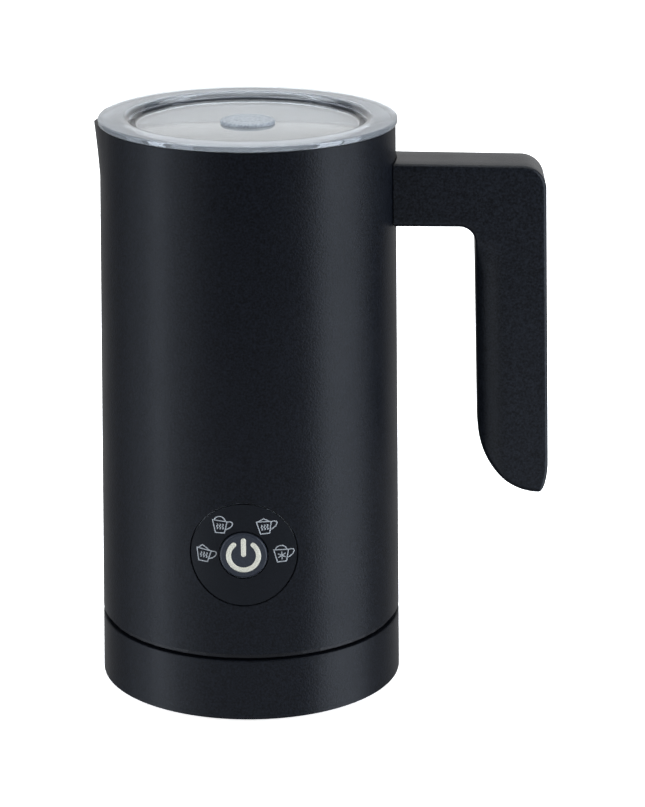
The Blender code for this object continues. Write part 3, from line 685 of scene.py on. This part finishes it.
def make_seal_and_disc():
    refine("lid_seal", "lid", "rubber", 0.12 * MM, COLUMNS)
    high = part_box("lid_centre_disc")[1].z
    radius = half_size("lid_centre_disc").y
    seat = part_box("lid_disc")[1].z - RECESS + 0.02 * MM
    profile = [(0.0, seat), (radius, seat)]
    profile += arc((radius - 0.75 * MM, high - 0.75 * MM), 0.75 * MM, 20, 90, 5)
    for ring in (0.86, 0.80, 0.52, 0.46):
        groove = 0.12 * MM
        profile += [(radius * ring, high), (radius * ring - groove, high - groove)]
        profile += [(radius * ring - 2 * groove, high)]
    profile += [(0.0, high)]
    make("lid_badge", turn(profile, 96), "lid", "frosted_plastic", "lid_centre_disc")


# -------------------- handle

HANDLE_LOW, HANDLE_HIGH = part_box("handle_body")
HANDLE_DEPTH = half_size("handle_body").y
HANDLE_EDGE = 1.7 * MM
SLOPE_TOP = 0.156
SLOPE_RUNS = ((0.0, 1.4), (2.6 * MM, 0.60), (7.2 * MM, 0.42), (9.8 * MM, 0.0))   # distance in, steepness
INNER_CORNER, TIP_CURVE = 5.4 * MM, 24.9 * MM
ARM_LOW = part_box("handle_gasket")[0].z - 1.2 * MM
ARM_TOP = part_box("handle_gasket")[1].z + 1.2 * MM
ARM_RISE = 0.6 * MM
GRIP_INSIDE_TOP = HANDLE_HIGH.x - 25.8 * MM
GRIP_INSIDE_LOW = HANDLE_HIGH.x - 24.0 * MM
GRIP_OUTSIDE_TOP = HANDLE_HIGH.x - 2.6 * MM
TIP_X = HANDLE_HIGH.x - 2.9 * MM
STRIP_LOW, STRIP_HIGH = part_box("handle_strip")[0].z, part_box("handle_strip")[1].z
STRIP_GAP = 0.3 * MM


def ellipse(centre, half_x, half_z, start, end, steps):
    points = []
    for step in range(steps + 1):
        angle = math.radians(start + (end - start) * step / steps)
        points.append((centre[0] + half_x * math.cos(angle), centre[1] + half_z * math.sin(angle)))
    return points


def grip_inner_side(height):
    """The grip's inner side leans outwards on the way down."""
    share = (ARM_LOW - INNER_CORNER - height) / (ARM_LOW - INNER_CORNER - HANDLE_LOW.z - TIP_CURVE)
    return GRIP_INSIDE_TOP + share * (GRIP_INSIDE_LOW - GRIP_INSIDE_TOP)


def handle_outline():
    """Side view of the handle: a level arm, a corner, and a grip that ends in a long curve."""
    corner = 8.0 * MM
    tip = HANDLE_LOW.z
    start = AXIS + 40 * MM
    points = [(start, ARM_LOW), (start, ARM_TOP + ARM_RISE)]
    points += arc((GRIP_OUTSIDE_TOP - corner, ARM_TOP - corner), corner, 90, 0, 16)
    points += ellipse((TIP_X, tip + 10.5 * MM), HANDLE_HIGH.x - TIP_X, 10.5 * MM, 0, -90, 16)
    points += ellipse((TIP_X, tip + TIP_CURVE), TIP_X - GRIP_INSIDE_LOW, TIP_CURVE, -90, -180, 30)[1:]
    for height in (STRIP_LOW - STRIP_GAP, STRIP_HIGH + STRIP_GAP):
        points.append((grip_inner_side(height), height))
    points += arc((GRIP_INSIDE_TOP - INNER_CORNER, ARM_LOW - INNER_CORNER), INNER_CORNER, 0, 90, 14)
    return spaced(points, 1.5 * MM)


def distance_to(outline, spot):
    best = 1.0
    for start, end in zip(outline, outline[1:] + outline[:1]):
        along = (end[0] - start[0], end[1] - start[1])
        length = along[0] ** 2 + along[1] ** 2
        share = ((spot[0] - start[0]) * along[0] + (spot[1] - start[1]) * along[1]) / length
        share = min(1.0, max(0.0, share))
        nearest = (start[0] + share * along[0], start[1] + share * along[1])
        best = min(best, math.dist(spot, nearest))
    return best


def slope_drop(away):
    """How far the sloped side of the grip has dropped, this far in from its inner edge."""
    drop = 0.0
    for (near, steep), (far, gentle) in zip(SLOPE_RUNS, SLOPE_RUNS[1:]):
        start = min(far, max(near, away))
        at_start = steep + (gentle - steep) * (start - near) / (far - near)
        drop += (far - start) * (at_start + gentle) / 2
    return drop


def face_height(distance, spot):
    """How far the handle's face stands from its middle plane, this far in from the outline."""
    away = max(0.0, spot[0] - grip_inner_side(spot[1]))
    fade = min(1.0, max(0.0, (SLOPE_TOP - spot[1]) / (13 * MM)))
    fade = fade * fade * (3 - 2 * fade)
    drop = fade * slope_drop(away)
    width = HANDLE_EDGE - 1.2 * MM * fade * max(0.0, 1.0 - away / (6 * MM))
    rounded = math.sqrt(1.0 - (1.0 - min(1.0, distance / width)) ** 2)
    return HANDLE_DEPTH - drop - (1.0 - rounded) * width * 0.85


def inner_points(outline):
    """Points inside the outline: rows along its rounded edge and a plain grid further in."""
    made = []
    for offset in (0.06, 0.22, 0.48, 0.85, 1.3, 1.75, 2.6, 3.8):
        for before, here, after in zip(outline[-1:] + outline[:-1], outline, outline[1:] + outline[:1]):
            away = Vector((before[1] - after[1], after[0] - before[0])).normalized() * -offset * MM
            spot = (here[0] + away.x, here[1] + away.y)
            if distance_to(outline, spot) > 0.97 * offset * MM:
                made.append(spot)
    step = 2.2 * MM
    low = (min(x for x, z in outline), min(z for x, z in outline))
    high = (max(x for x, z in outline), max(z for x, z in outline))
    for column in range(int((high[0] - low[0]) / step)):
        for row in range(int((high[1] - low[1]) / step)):
            spot = (low[0] + (column + 0.5 * (row % 2)) * step, low[1] + row * step)
            if inside(outline, spot) and distance_to(outline, spot) > 4.6 * MM:
                made.append(spot)
    return [spot for spot in made if inside(outline, spot)]


def inside(outline, spot):
    crossings = 0
    for (x1, z1), (x2, z2) in zip(outline, outline[1:] + outline[:1]):
        if (z1 > spot[1]) != (z2 > spot[1]):
            crossings += spot[0] < x1 + (spot[1] - z1) / (z2 - z1) * (x2 - x1)
    return crossings % 2 == 1


def make_handle():
    outline = handle_outline()
    spots, faces = fill([outline], inner_points(outline))
    bm = bmesh.new()
    heights = []
    for spot in spots:
        distance = distance_to(outline, spot)
        heights.append(face_height(distance if distance > 1e-6 else 0.0, spot))
    for side in (-1, 1):
        verts = [bm.verts.new((spot[0], side * height, spot[1])) for spot, height in zip(spots, heights)]
        for face in faces:
            bm.faces.new([verts[corner] for corner in face])
    edges = [face_height(0.0, spot) for spot in outline]
    strip = half_size("handle_strip").y + STRIP_GAP
    rings = [[bm.verts.new((spot[0], -edge, spot[1])) for spot, edge in zip(outline, edges)]]
    rings += [[bm.verts.new((x, level, z)) for x, z in outline] for level in (-strip, 0.0, strip)]
    rings += [[bm.verts.new((spot[0], edge, spot[1])) for spot, edge in zip(outline, edges)]]
    join_rows(bm, rings)
    bmesh.ops.remove_doubles(bm, verts=bm.verts, dist=1e-6)
    bmesh.ops.recalc_face_normals(bm, faces=bm.faces)
    sink_strip(bm, strip)
    root = 0.35 * MM
    for vert in bm.verts:
        least = AXIS + math.sqrt((wall_radius(vert.co.z) + root) ** 2 - vert.co.y ** 2)
        vert.co.x = max(vert.co.x, least)
    bmesh.ops.remove_doubles(bm, verts=bm.verts, dist=1e-6)
    bmesh.ops.dissolve_degenerate(bm, dist=1e-6, edges=bm.edges)
    # the handle takes the lighter copy of the black coat: painted light
    make("handle_shell", bm, "jug", "black_coat", "handle_body", 32, "handle_coat")


def sink_strip(bm, strip):
    """A pocket in the grip's inner side for the strip."""
    sunk = []
    for face in bm.faces:
        centre = face.calc_center_median()
        if abs(centre.y) < strip and STRIP_LOW - STRIP_GAP < centre.z < STRIP_HIGH + STRIP_GAP:
            if face.normal.x < -0.9 and centre.x < GRIP_INSIDE_LOW + 1 * MM:
                sunk.append(face)
    wall, pocket = 0.05 * MM, -2.6 * MM
    even = {"use_even_offset": True, "use_boundary": True}
    bmesh.ops.inset_region(bm, faces=sunk, thickness=wall, depth=pocket, **even)


def make_strip():
    """The grip's strip, with fine ribs across it."""
    low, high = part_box("handle_strip")
    depth = half_size("handle_strip").y
    ribs, groove, edge, back = 26, 0.25 * MM, 0.3 * MM, 2.1 * MM
    pitch = (high.z - low.z) / ribs
    profile = []
    for rib in range(ribs):
        start = low.z + pitch * rib
        profile += [(groove, start + 0.04 * pitch), (0.0, start + 0.25 * pitch)]
        profile += [(0.0, start + 0.75 * pitch), (groove, start + 0.96 * pitch)]
    profile += [(back, high.z), (back, low.z)]
    bm = bmesh.new()
    rows = []
    for level, shrink in ((-depth, edge), (-depth + edge, 0.0), (depth - edge, 0.0), (depth, edge)):
        row = []
        for away, height in profile:
            side = grip_inner_side(height) + max(away, shrink)
            row.append(bm.verts.new((side, level, height)))
        rows.append(row)
    join_rows(bm, rows)
    bm.faces.new(rows[0])
    bm.faces.new(list(reversed(rows[-1])))
    bmesh.ops.recalc_face_normals(bm, faces=bm.faces)
    make("handle_grip_strip", bm, "jug", "black_plastic", "handle_strip")


# -------------------- prints on the button and panel

def stroke(bm, points, width, lift=0.0):
    """A flat line of a width through (u, v) points, with mitred corners and round ends."""
    half = width / 2
    lefts, rights = [], []
    last = len(points) - 1
    for index, here in enumerate(points):
        into = (Vector(here) - Vector(points[max(0, index - 1)])).normalized()
        out = (Vector(points[min(last, index + 1)]) - Vector(here)).normalized()
        into, out = into if index else out, out if index < last else into
        side = Vector((-into.y - out.y, into.x + out.x)).normalized()
        reach = half / max(0.5, side.dot(Vector((-into.y, into.x))))
        lefts.append(bm.verts.new((here[0] + side.x * reach, here[1] + side.y * reach, lift)))
        rights.append(bm.verts.new((here[0] - side.x * reach, here[1] - side.y * reach, lift)))
    for index in range(last):
        bm.faces.new((lefts[index], rights[index], rights[index + 1], lefts[index + 1]))
    for end, nearby, first, other in ((0, 1, lefts, rights), (last, last - 1, rights, lefts)):
        here = Vector(points[end])
        out = here - Vector(points[nearby])
        start = math.atan2(out.y, out.x) - math.pi / 2
        cap = []
        for step in range(1, 8):
            angle = start + math.pi * step / 8
            cap.append(bm.verts.new((here.x + half * math.cos(angle), here.y + half * math.sin(angle), lift)))
        bm.faces.new([first[end], *cap, other[end]])


def lay(bm, surface):
    """Lays flat (u, v) work, lifted by its third coordinate, on a surface that faces the front."""
    bm.normal_update()
    bmesh.ops.reverse_faces(bm, faces=[face for face in bm.faces if face.normal.z < 0])
    for vert in bm.verts:
        vert.co = surface(*vert.co)


def make_power_mark():
    face = -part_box("power_button")[0].y
    width, clearance = 1.65 * MM, 0.035 * MM
    ring = 5.75 * MM - width / 2
    bm = bmesh.new()
    stroke(bm, arc((0.0, 0.0), ring, 130, 410, 72), width)
    stroke(bm, [(0.0, -0.4 * MM + width / 2), (0.0, 2.8 * MM), (0.0, 6.1 * MM - width / 2)], width)

    def surface(u, v, lift):
        share = min(1.0, math.hypot(u, v) / BUTTON_RADIUS)
        front = face - BUTTON_DISH * (1 - share ** 2) + clearance + lift
        return Vector((AXIS + u, -front, PANEL_Z + v))

    lay(bm, surface)
    mark = make("power_mark", bm, "button", "button_plastic", look="print_cream")
    thicken(mark, 0.08 * MM)


CUP = ((-3.4, 1.8), (-2.35, -2.9), (0.7, -2.9), (1.6, 1.4))
CUP_HANDLE = ((1.75, 1.35), (2.6, 1.45), (3.3, 1.2), (3.5, 0.6), (3.1, -0.3), (2.2, -1.1), (1.25, -1.6))
FOAM_SLANTED = ((-2.9, 1.75), (-1.6, 3.2), (1.0, 1.5))
FOAM_DOME = ((-2.9, 1.8), (-2.3, 2.75), (-1.3, 3.2), (-0.3, 3.15), (0.6, 2.5), (1.05, 1.5))
FOAM_LOW = ((-2.9, 1.75), (-0.8, 2.75), (1.0, 1.5))
WAVES = (-1.75, -0.8, 0.15)
ICONS = (((-12.35, -0.1), -6, FOAM_SLANTED, False), ((-6.9, 10.2), -1, FOAM_DOME, False),
         ((7.65, 10.1), 5, FOAM_LOW, False), ((13.2, 0.1), 3, FOAM_DOME, True))
ICON_SIZE = (0.965, 0.92)


def icon_lines(foam, cold):
    lines = [CUP, (CUP[0], CUP[3]), foam, CUP_HANDLE]
    if cold:
        for degrees in (30, 90, 150):
            u, v = 1.3 * math.cos(math.radians(degrees)), 1.3 * math.sin(math.radians(degrees))
            lines.append(((-0.75 - u, -0.6 - v), (-0.75 + u, -0.6 + v)))
    else:
        for across in WAVES:
            wave = [(across + 0.2 * math.sin(step * math.pi / 3), 0.4 - 0.2 * step) for step in range(10)]
            lines.append(wave)
    return lines


def make_icons():
    bm = bmesh.new()
    for centre, degrees, foam, cold in ICONS:
        turned = Matrix.Rotation(math.radians(degrees), 2)
        for number, line in enumerate(icon_lines(foam, cold)):
            spots = [turned @ Vector((spot[0] * ICON_SIZE[0], spot[1] * ICON_SIZE[1])) for spot in line]
            spots = [tuple((spot + Vector(centre)) * MM) for spot in spots]
            stroke(bm, spaced(spots, 0.8 * MM, False), 0.34 * MM, number * 0.004 * MM)

    def surface(u, v, lift):
        height = PANEL_Z + v
        body = wall_radius(height) + 0.03 * MM + lift
        return Vector(place(FRONT + math.asin(u / body), body, height))

    lay(bm, surface)
    icons = make("panel_icons", bm, "jug", "panel_plastic", look="print_grey")
    thicken(icons, 0.06 * MM)


# -------------------- inside the jug

def make_pot():
    low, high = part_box("inner_pot")[0].z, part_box("inner_pot")[1].z
    inside_radius, wall, corner = 41.5 * MM, 0.8 * MM, 5 * MM
    floor = low + wall
    edge = half_size("inner_pot").y
    hem = high - 0.8 * MM
    lip_heights = [POT_LIP_START] + between(POT_LIP_START, hem, LIP_ROWS)
    profile = [(0.0, low), (20 * MM, low)]
    profile += arc((inside_radius - corner, floor + corner), corner + wall, -90, 0, 10)
    profile += [(inside_radius + wall, height) for height in lip_heights[:-1]]
    profile += [(inside_radius + wall, hem - 0.9 * MM), (inside_radius + wall + 0.8 * MM, hem)]
    profile += arc((edge - 0.35 * MM, hem + 0.4 * MM), 0.38 * MM, -90, 90, 6)
    profile += arc((inside_radius + 0.8 * MM, high - 0.8 * MM), 0.8 * MM, 90, 180, 6)
    profile += [(inside_radius, height) for height in reversed(lip_heights[:-1])]
    profile += [(inside_radius, height * MM) for height in (160, 140, 120, 100)]
    profile += arc((inside_radius - corner, floor + corner), corner, 0, -90, 10)
    raised = floor + 0.25 * MM
    profile += [(30 * MM, floor), (29.4 * MM, raised), (20 * MM, raised), (0.0, raised)]

    def lip(angle, radius, height):
        reach = POT_EDGE_REACH if radius > 44 * MM else POT_LIP_REACH
        return radius + reach * lip_share(angle, height, POT_LIP_START)

    pot = make("milk_pot", turn(profile, COLUMNS, True, lip), "jug", "steel", "inner_pot", 50)
    # painted shade: the rim's outer faces take the darkened copy of the steel
    pot.data.materials.append(looks["steel_rim"])
    for face in pot.data.polygons:
        out = math.hypot(face.center.x - AXIS, face.center.y)
        if face.center.z > hem - 0.95 * MM and out > inside_radius + 0.15 * MM:
            face.material_index = 1


def make_coil():
    """The whisk's wire, wound as a spring and bent into a ring."""
    low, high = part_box("whisk_coil")
    wire = 0.38 * MM
    coil = (high.z - low.z) / 2 - wire
    ring = (high.y - low.y) / 2 - coil - wire
    level = (low.z + high.z) / 2
    turns, steps, sides = 66, 14, 6
    bm = bmesh.new()
    rings = []
    up = Vector((0.0, 0.0, 1.0))
    for number in range(turns * steps):
        share = number / (turns * steps)
        round_axis = 2 * math.pi * share
        round_coil = round_axis * turns
        out = Vector((math.cos(round_axis), math.sin(round_axis), 0.0))
        across = out * math.cos(round_coil) + up * math.sin(round_coil)
        centre = Vector((AXIS, 0.0, level)) + out * ring + across * coil
        along = Vector((-out.y, out.x, 0.0)) * (ring + coil * math.cos(round_coil))
        along += (up * math.cos(round_coil) - out * math.sin(round_coil)) * coil * turns
        normal = along.normalized().cross(across)
        spots = []
        for side in range(sides):
            angle = 2 * math.pi * side / sides
            spots.append(bm.verts.new(centre + (across * math.cos(angle) + normal * math.sin(angle)) * wire))
        rings.append(spots)
    join_rows(bm, rings + rings[:1])
    bmesh.ops.recalc_face_normals(bm, faces=bm.faces)
    make("whisk_wire", bm, "whisk", "steel", "whisk_coil", 80, "steel_wire")


def make_whisk():
    refine("whisk_hub", "whisk", "black_plastic", 0.3 * MM, 128, True)
    refine("whisk_bush", "whisk_lift", "steel", 0.15 * MM, 48)
    refine("whisk_pin", "jug", "steel", 0.15 * MM, 48)


# -------------------- under the jug and on the base

def make_turned_parts():
    refine("base_connector", "base", "black_plastic", 0.25 * MM, 128)
    refine("base_contact_centre", "base", "brass", 0.1 * MM, 48)
    refine("base_contact_ring", "base", "brass", 0.1 * MM)
    refine("contact_pin", "coupler", "brass", 0.15 * MM, 48)
    refine("contact_ring", "coupler", "brass", 0.12 * MM)
    refine("earth_ring", "coupler", "steel", 0.12 * MM, 128)
    refine("jug_connector", "jug", "black_plastic", 0.2 * MM, 128)


def make_plate():
    low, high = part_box("base_plate")[0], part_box("base_plate")[1]
    outlines = [circle((AXIS, 0.0), half_size("base_plate").y, COLUMNS)]
    for number in (1, 2, 3, 4):
        centre = middle(f"foot_{number}")
        outlines.append(circle((centre.x, centre.y), half_size(f"foot_{number}").x + 0.3 * MM, 48))
    plate = make("base_floor", slab(outlines, low.z, high.z), "base", "black_plastic", "base_plate")
    round_edges(plate, 0.2 * MM, 2)


def make_feet():
    for number in (1, 2, 3, 4):
        low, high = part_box(f"foot_{number}")
        centre = (low + high) / 2
        radius = (high.x - low.x) / 2
        edge = 0.6 * MM
        profile = [(0.0, low.z + 0.25 * MM), (radius * 0.55, low.z + 0.25 * MM), (radius * 0.62, low.z)]
        profile += arc((radius - edge, low.z + edge), edge, -90, 0, 6) + [(radius, high.z), (0.0, high.z)]
        bm = turn(profile, 64)
        bmesh.ops.translate(bm, vec=(centre.x - AXIS, centre.y, 0.0), verts=bm.verts)
        make(f"rubber_foot_{number}", bm, "base", "rubber", f"foot_{number}")


def cross(centre, reach, half):
    spots = [(half, reach), (half, half), (reach, half), (reach, -half), (half, -half), (half, -reach)]
    spots += [(-half, -reach), (-half, -half), (-reach, -half), (-reach, half), (-half, half), (-half, reach)]
    return [(centre[0] + x, centre[1] + y) for x, y in spots]


def make_screw_head(node, body):
    """A domed head that faces down, with a cross recess, above a plain shank."""
    low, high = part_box(node)
    centre = ((low.x + high.x) / 2, (low.y + high.y) / 2)
    radius = (high.x - low.x) / 2
    recess = low.z + 0.55 * MM
    mark = cross(centre, 1.35 * MM, 0.32 * MM)
    bm = bmesh.new()
    fill_level(bm, [circle(centre, radius * 0.72, 48), mark], low.z)
    rings = [[bm.verts.new((x, y, level)) for x, y in mark] for level in (low.z, recess)]
    join(bm, *rings)
    bm.faces.new(rings[1])
    profile = [(radius * 0.72, low.z), (radius * 0.9, low.z + 0.1 * MM), (radius, low.z + 0.35 * MM)]
    profile += [(radius, low.z + 0.8 * MM), (1.4 * MM, low.z + 0.8 * MM), (1.4 * MM, high.z)]
    rings = [[bm.verts.new((x, y, level)) for x, y in circle(centre, size, 48)] for size, level in profile]
    join_rows(bm, rings)
    bm.faces.new(rings[-1])
    bmesh.ops.remove_doubles(bm, verts=bm.verts, dist=1e-7)
    bmesh.ops.recalc_face_normals(bm, faces=bm.faces)
    make(node + "_cross", bm, body, "steel", node, 35, "steel_screw")


def make_screws():
    for number in (1, 2, 3):
        make_screw_head(f"base_screw_{number}", "base")
        make_screw_head(f"bottom_screw_{number}", "jug")


def make_gland():
    low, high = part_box("cord_gland")
    hole = 3.1 * MM
    neck = 5.0 * MM
    flange = (high.x - low.x) / 2
    seat = high.y - 2.7 * MM
    profile = [(hole, -low.y), (flange, -low.y), (flange, -seat), (neck, -seat), (neck, -high.y + 0.5 * MM)]
    profile += [(neck - 0.4 * MM, -high.y), (hole + 0.5 * MM, -high.y), (hole, -high.y + 0.5 * MM)]
    bm = turn_about_y(profile, 64, GLAND_Z)
    make("lead_bush", bm, "base", "rubber", "cord_gland")


# -------------------- stage

def make_stage():
    """A pale floor that curves up into walls well outside the lights, white from every side."""
    flat, bend, top = 3.2, 1.2, 4.5
    profile = [(0.0, 0.0), (0.15, 0.0), (0.6, 0.0), (1.6, 0.0)]
    profile += arc((flat, bend), bend, -90, 0, 12) + [(flat + bend, top)]
    bm = turn(profile, 64, False)
    bmesh.ops.reverse_faces(bm, faces=bm.faces)
    mesh = bpy.data.meshes.new("floor")
    bm.to_mesh(mesh)
    bm.free()
    mesh.shade_smooth()
    floor = bpy.data.objects.new("floor", mesh)
    bpy.context.scene.collection.objects.link(floor)
    look = start_look("floor_pale", (0.93, 0.93, 0.93), 0.9)[0]
    shader = look.node_tree.nodes["Principled BSDF"]
    shader.inputs["Specular IOR Level"].default_value = 0.1
    shader.inputs["Emission Color"].default_value = (1.0, 1.0, 1.0, 1.0)
    shader.inputs["Emission Strength"].default_value = 0.85
    mesh.materials.append(look)
    floor.visible_glossy = False
    floor.visible_diffuse = False
    floor.visible_shadow = False


COOL, NEUTRAL, WHITE = (0.80, 0.88, 1.0), (0.93, 0.97, 1.0), (1.0, 1.0, 1.0)
STRIP = 2.4                                       # the strips' length, half of it below the floor
BODY, FOOT = (0.0, 0.0, 0.10), (0.0, 0.0, 0.0)    # what most lights aim at
LIGHTS = (                                        # name, place, aim, size, watts, colour
    ("left_strip", (-1.15, -0.42, 0.0), FOOT, (0.30, STRIP), 18.5, COOL),
    ("left_wide", (-0.907, -0.816, 0.0), FOOT, (0.36, STRIP), 7.5, COOL),
    ("left_side", (-1.22, 0.05, 0.0), FOOT, (0.36, STRIP), 4.0, COOL),
    ("right_strip", (1.15, -0.50, 0.0), FOOT, (0.46, STRIP), 28.0, COOL),
    ("right_wide", (1.22, -0.04, 0.0), FOOT, (0.36, STRIP), 13.0, COOL),
    ("overhead", (0.0, 0.25, 1.6), BODY, (2.2, 1.6), 32.0, NEUTRAL),
    ("backdrop", (0.0, 1.9, 0.76), (0.0, 0.0, 0.76), (3.2, 1.5), 7.6, WHITE),
    ("back_low", (0.0, 1.9, -0.50), (0.0, 0.0, 0.05), (3.2, 0.9), 1.4, WHITE),
    ("front_fill", (0.0, -0.60, -0.20), (0.0, 0.0, 0.03), (0.9, 0.30), 1.3, COOL),
)


def add_light(name, where, aim, size, power, colour):
    data = bpy.data.lights.new(name, "AREA")
    data.shape = "RECTANGLE"
    data.size, data.size_y = size
    data.energy = power
    data.color = colour
    light = bpy.data.objects.new(name, data)
    light.location = where
    light.rotation_euler = (Vector(aim) - Vector(where)).to_track_quat("-Z", "Y").to_euler()
    light.visible_camera = False
    bpy.context.scene.collection.objects.link(light)


def make_light():
    """Soft boxes at the sides, above, behind and low in front, and a dim white world."""
    for light in LIGHTS:
        add_light(*light)
    world = bpy.data.worlds.new("studio")
    world.use_nodes = True
    world.node_tree.nodes["Background"].inputs["Color"].default_value = (1.0, 1.0, 1.0, 1.0)
    world.node_tree.nodes["Background"].inputs["Strength"].default_value = 0.26
    bpy.context.scene.world = world
    bpy.context.scene.view_settings.view_transform = "Standard"


def make_camera():
    """A long lens, a metre away, pitched down on the jug's middle and a little to its right."""
    azimuth, elevation, distance = math.radians(1.3), math.radians(17.33), 0.995
    aim = Vector((AXIS + 24.75 * MM, 0.0, 0.0957))
    back = Vector((math.sin(azimuth) * math.cos(elevation), -math.cos(azimuth) * math.cos(elevation),
                   math.sin(elevation)))
    data = bpy.data.cameras.new("camera")
    data.sensor_width = 36.0
    data.lens = 130.2
    camera = bpy.data.objects.new("camera", data)
    camera.location = aim + back * distance
    camera.rotation_euler = (-back).to_track_quat("-Z", "Y").to_euler()
    bpy.context.scene.collection.objects.link(camera)
    bpy.context.scene.camera = camera


finish_cad_nodes()
make_camera()
make_light()
make_stage()
make_base()
make_shell()
make_panel()
make_button()
make_lid()
make_seal_and_disc()
make_handle()
make_strip()
make_power_mark()
make_icons()
make_pot()
make_coil()
make_whisk()
make_turned_parts()
make_plate()
make_feet()
make_screws()
make_gland()
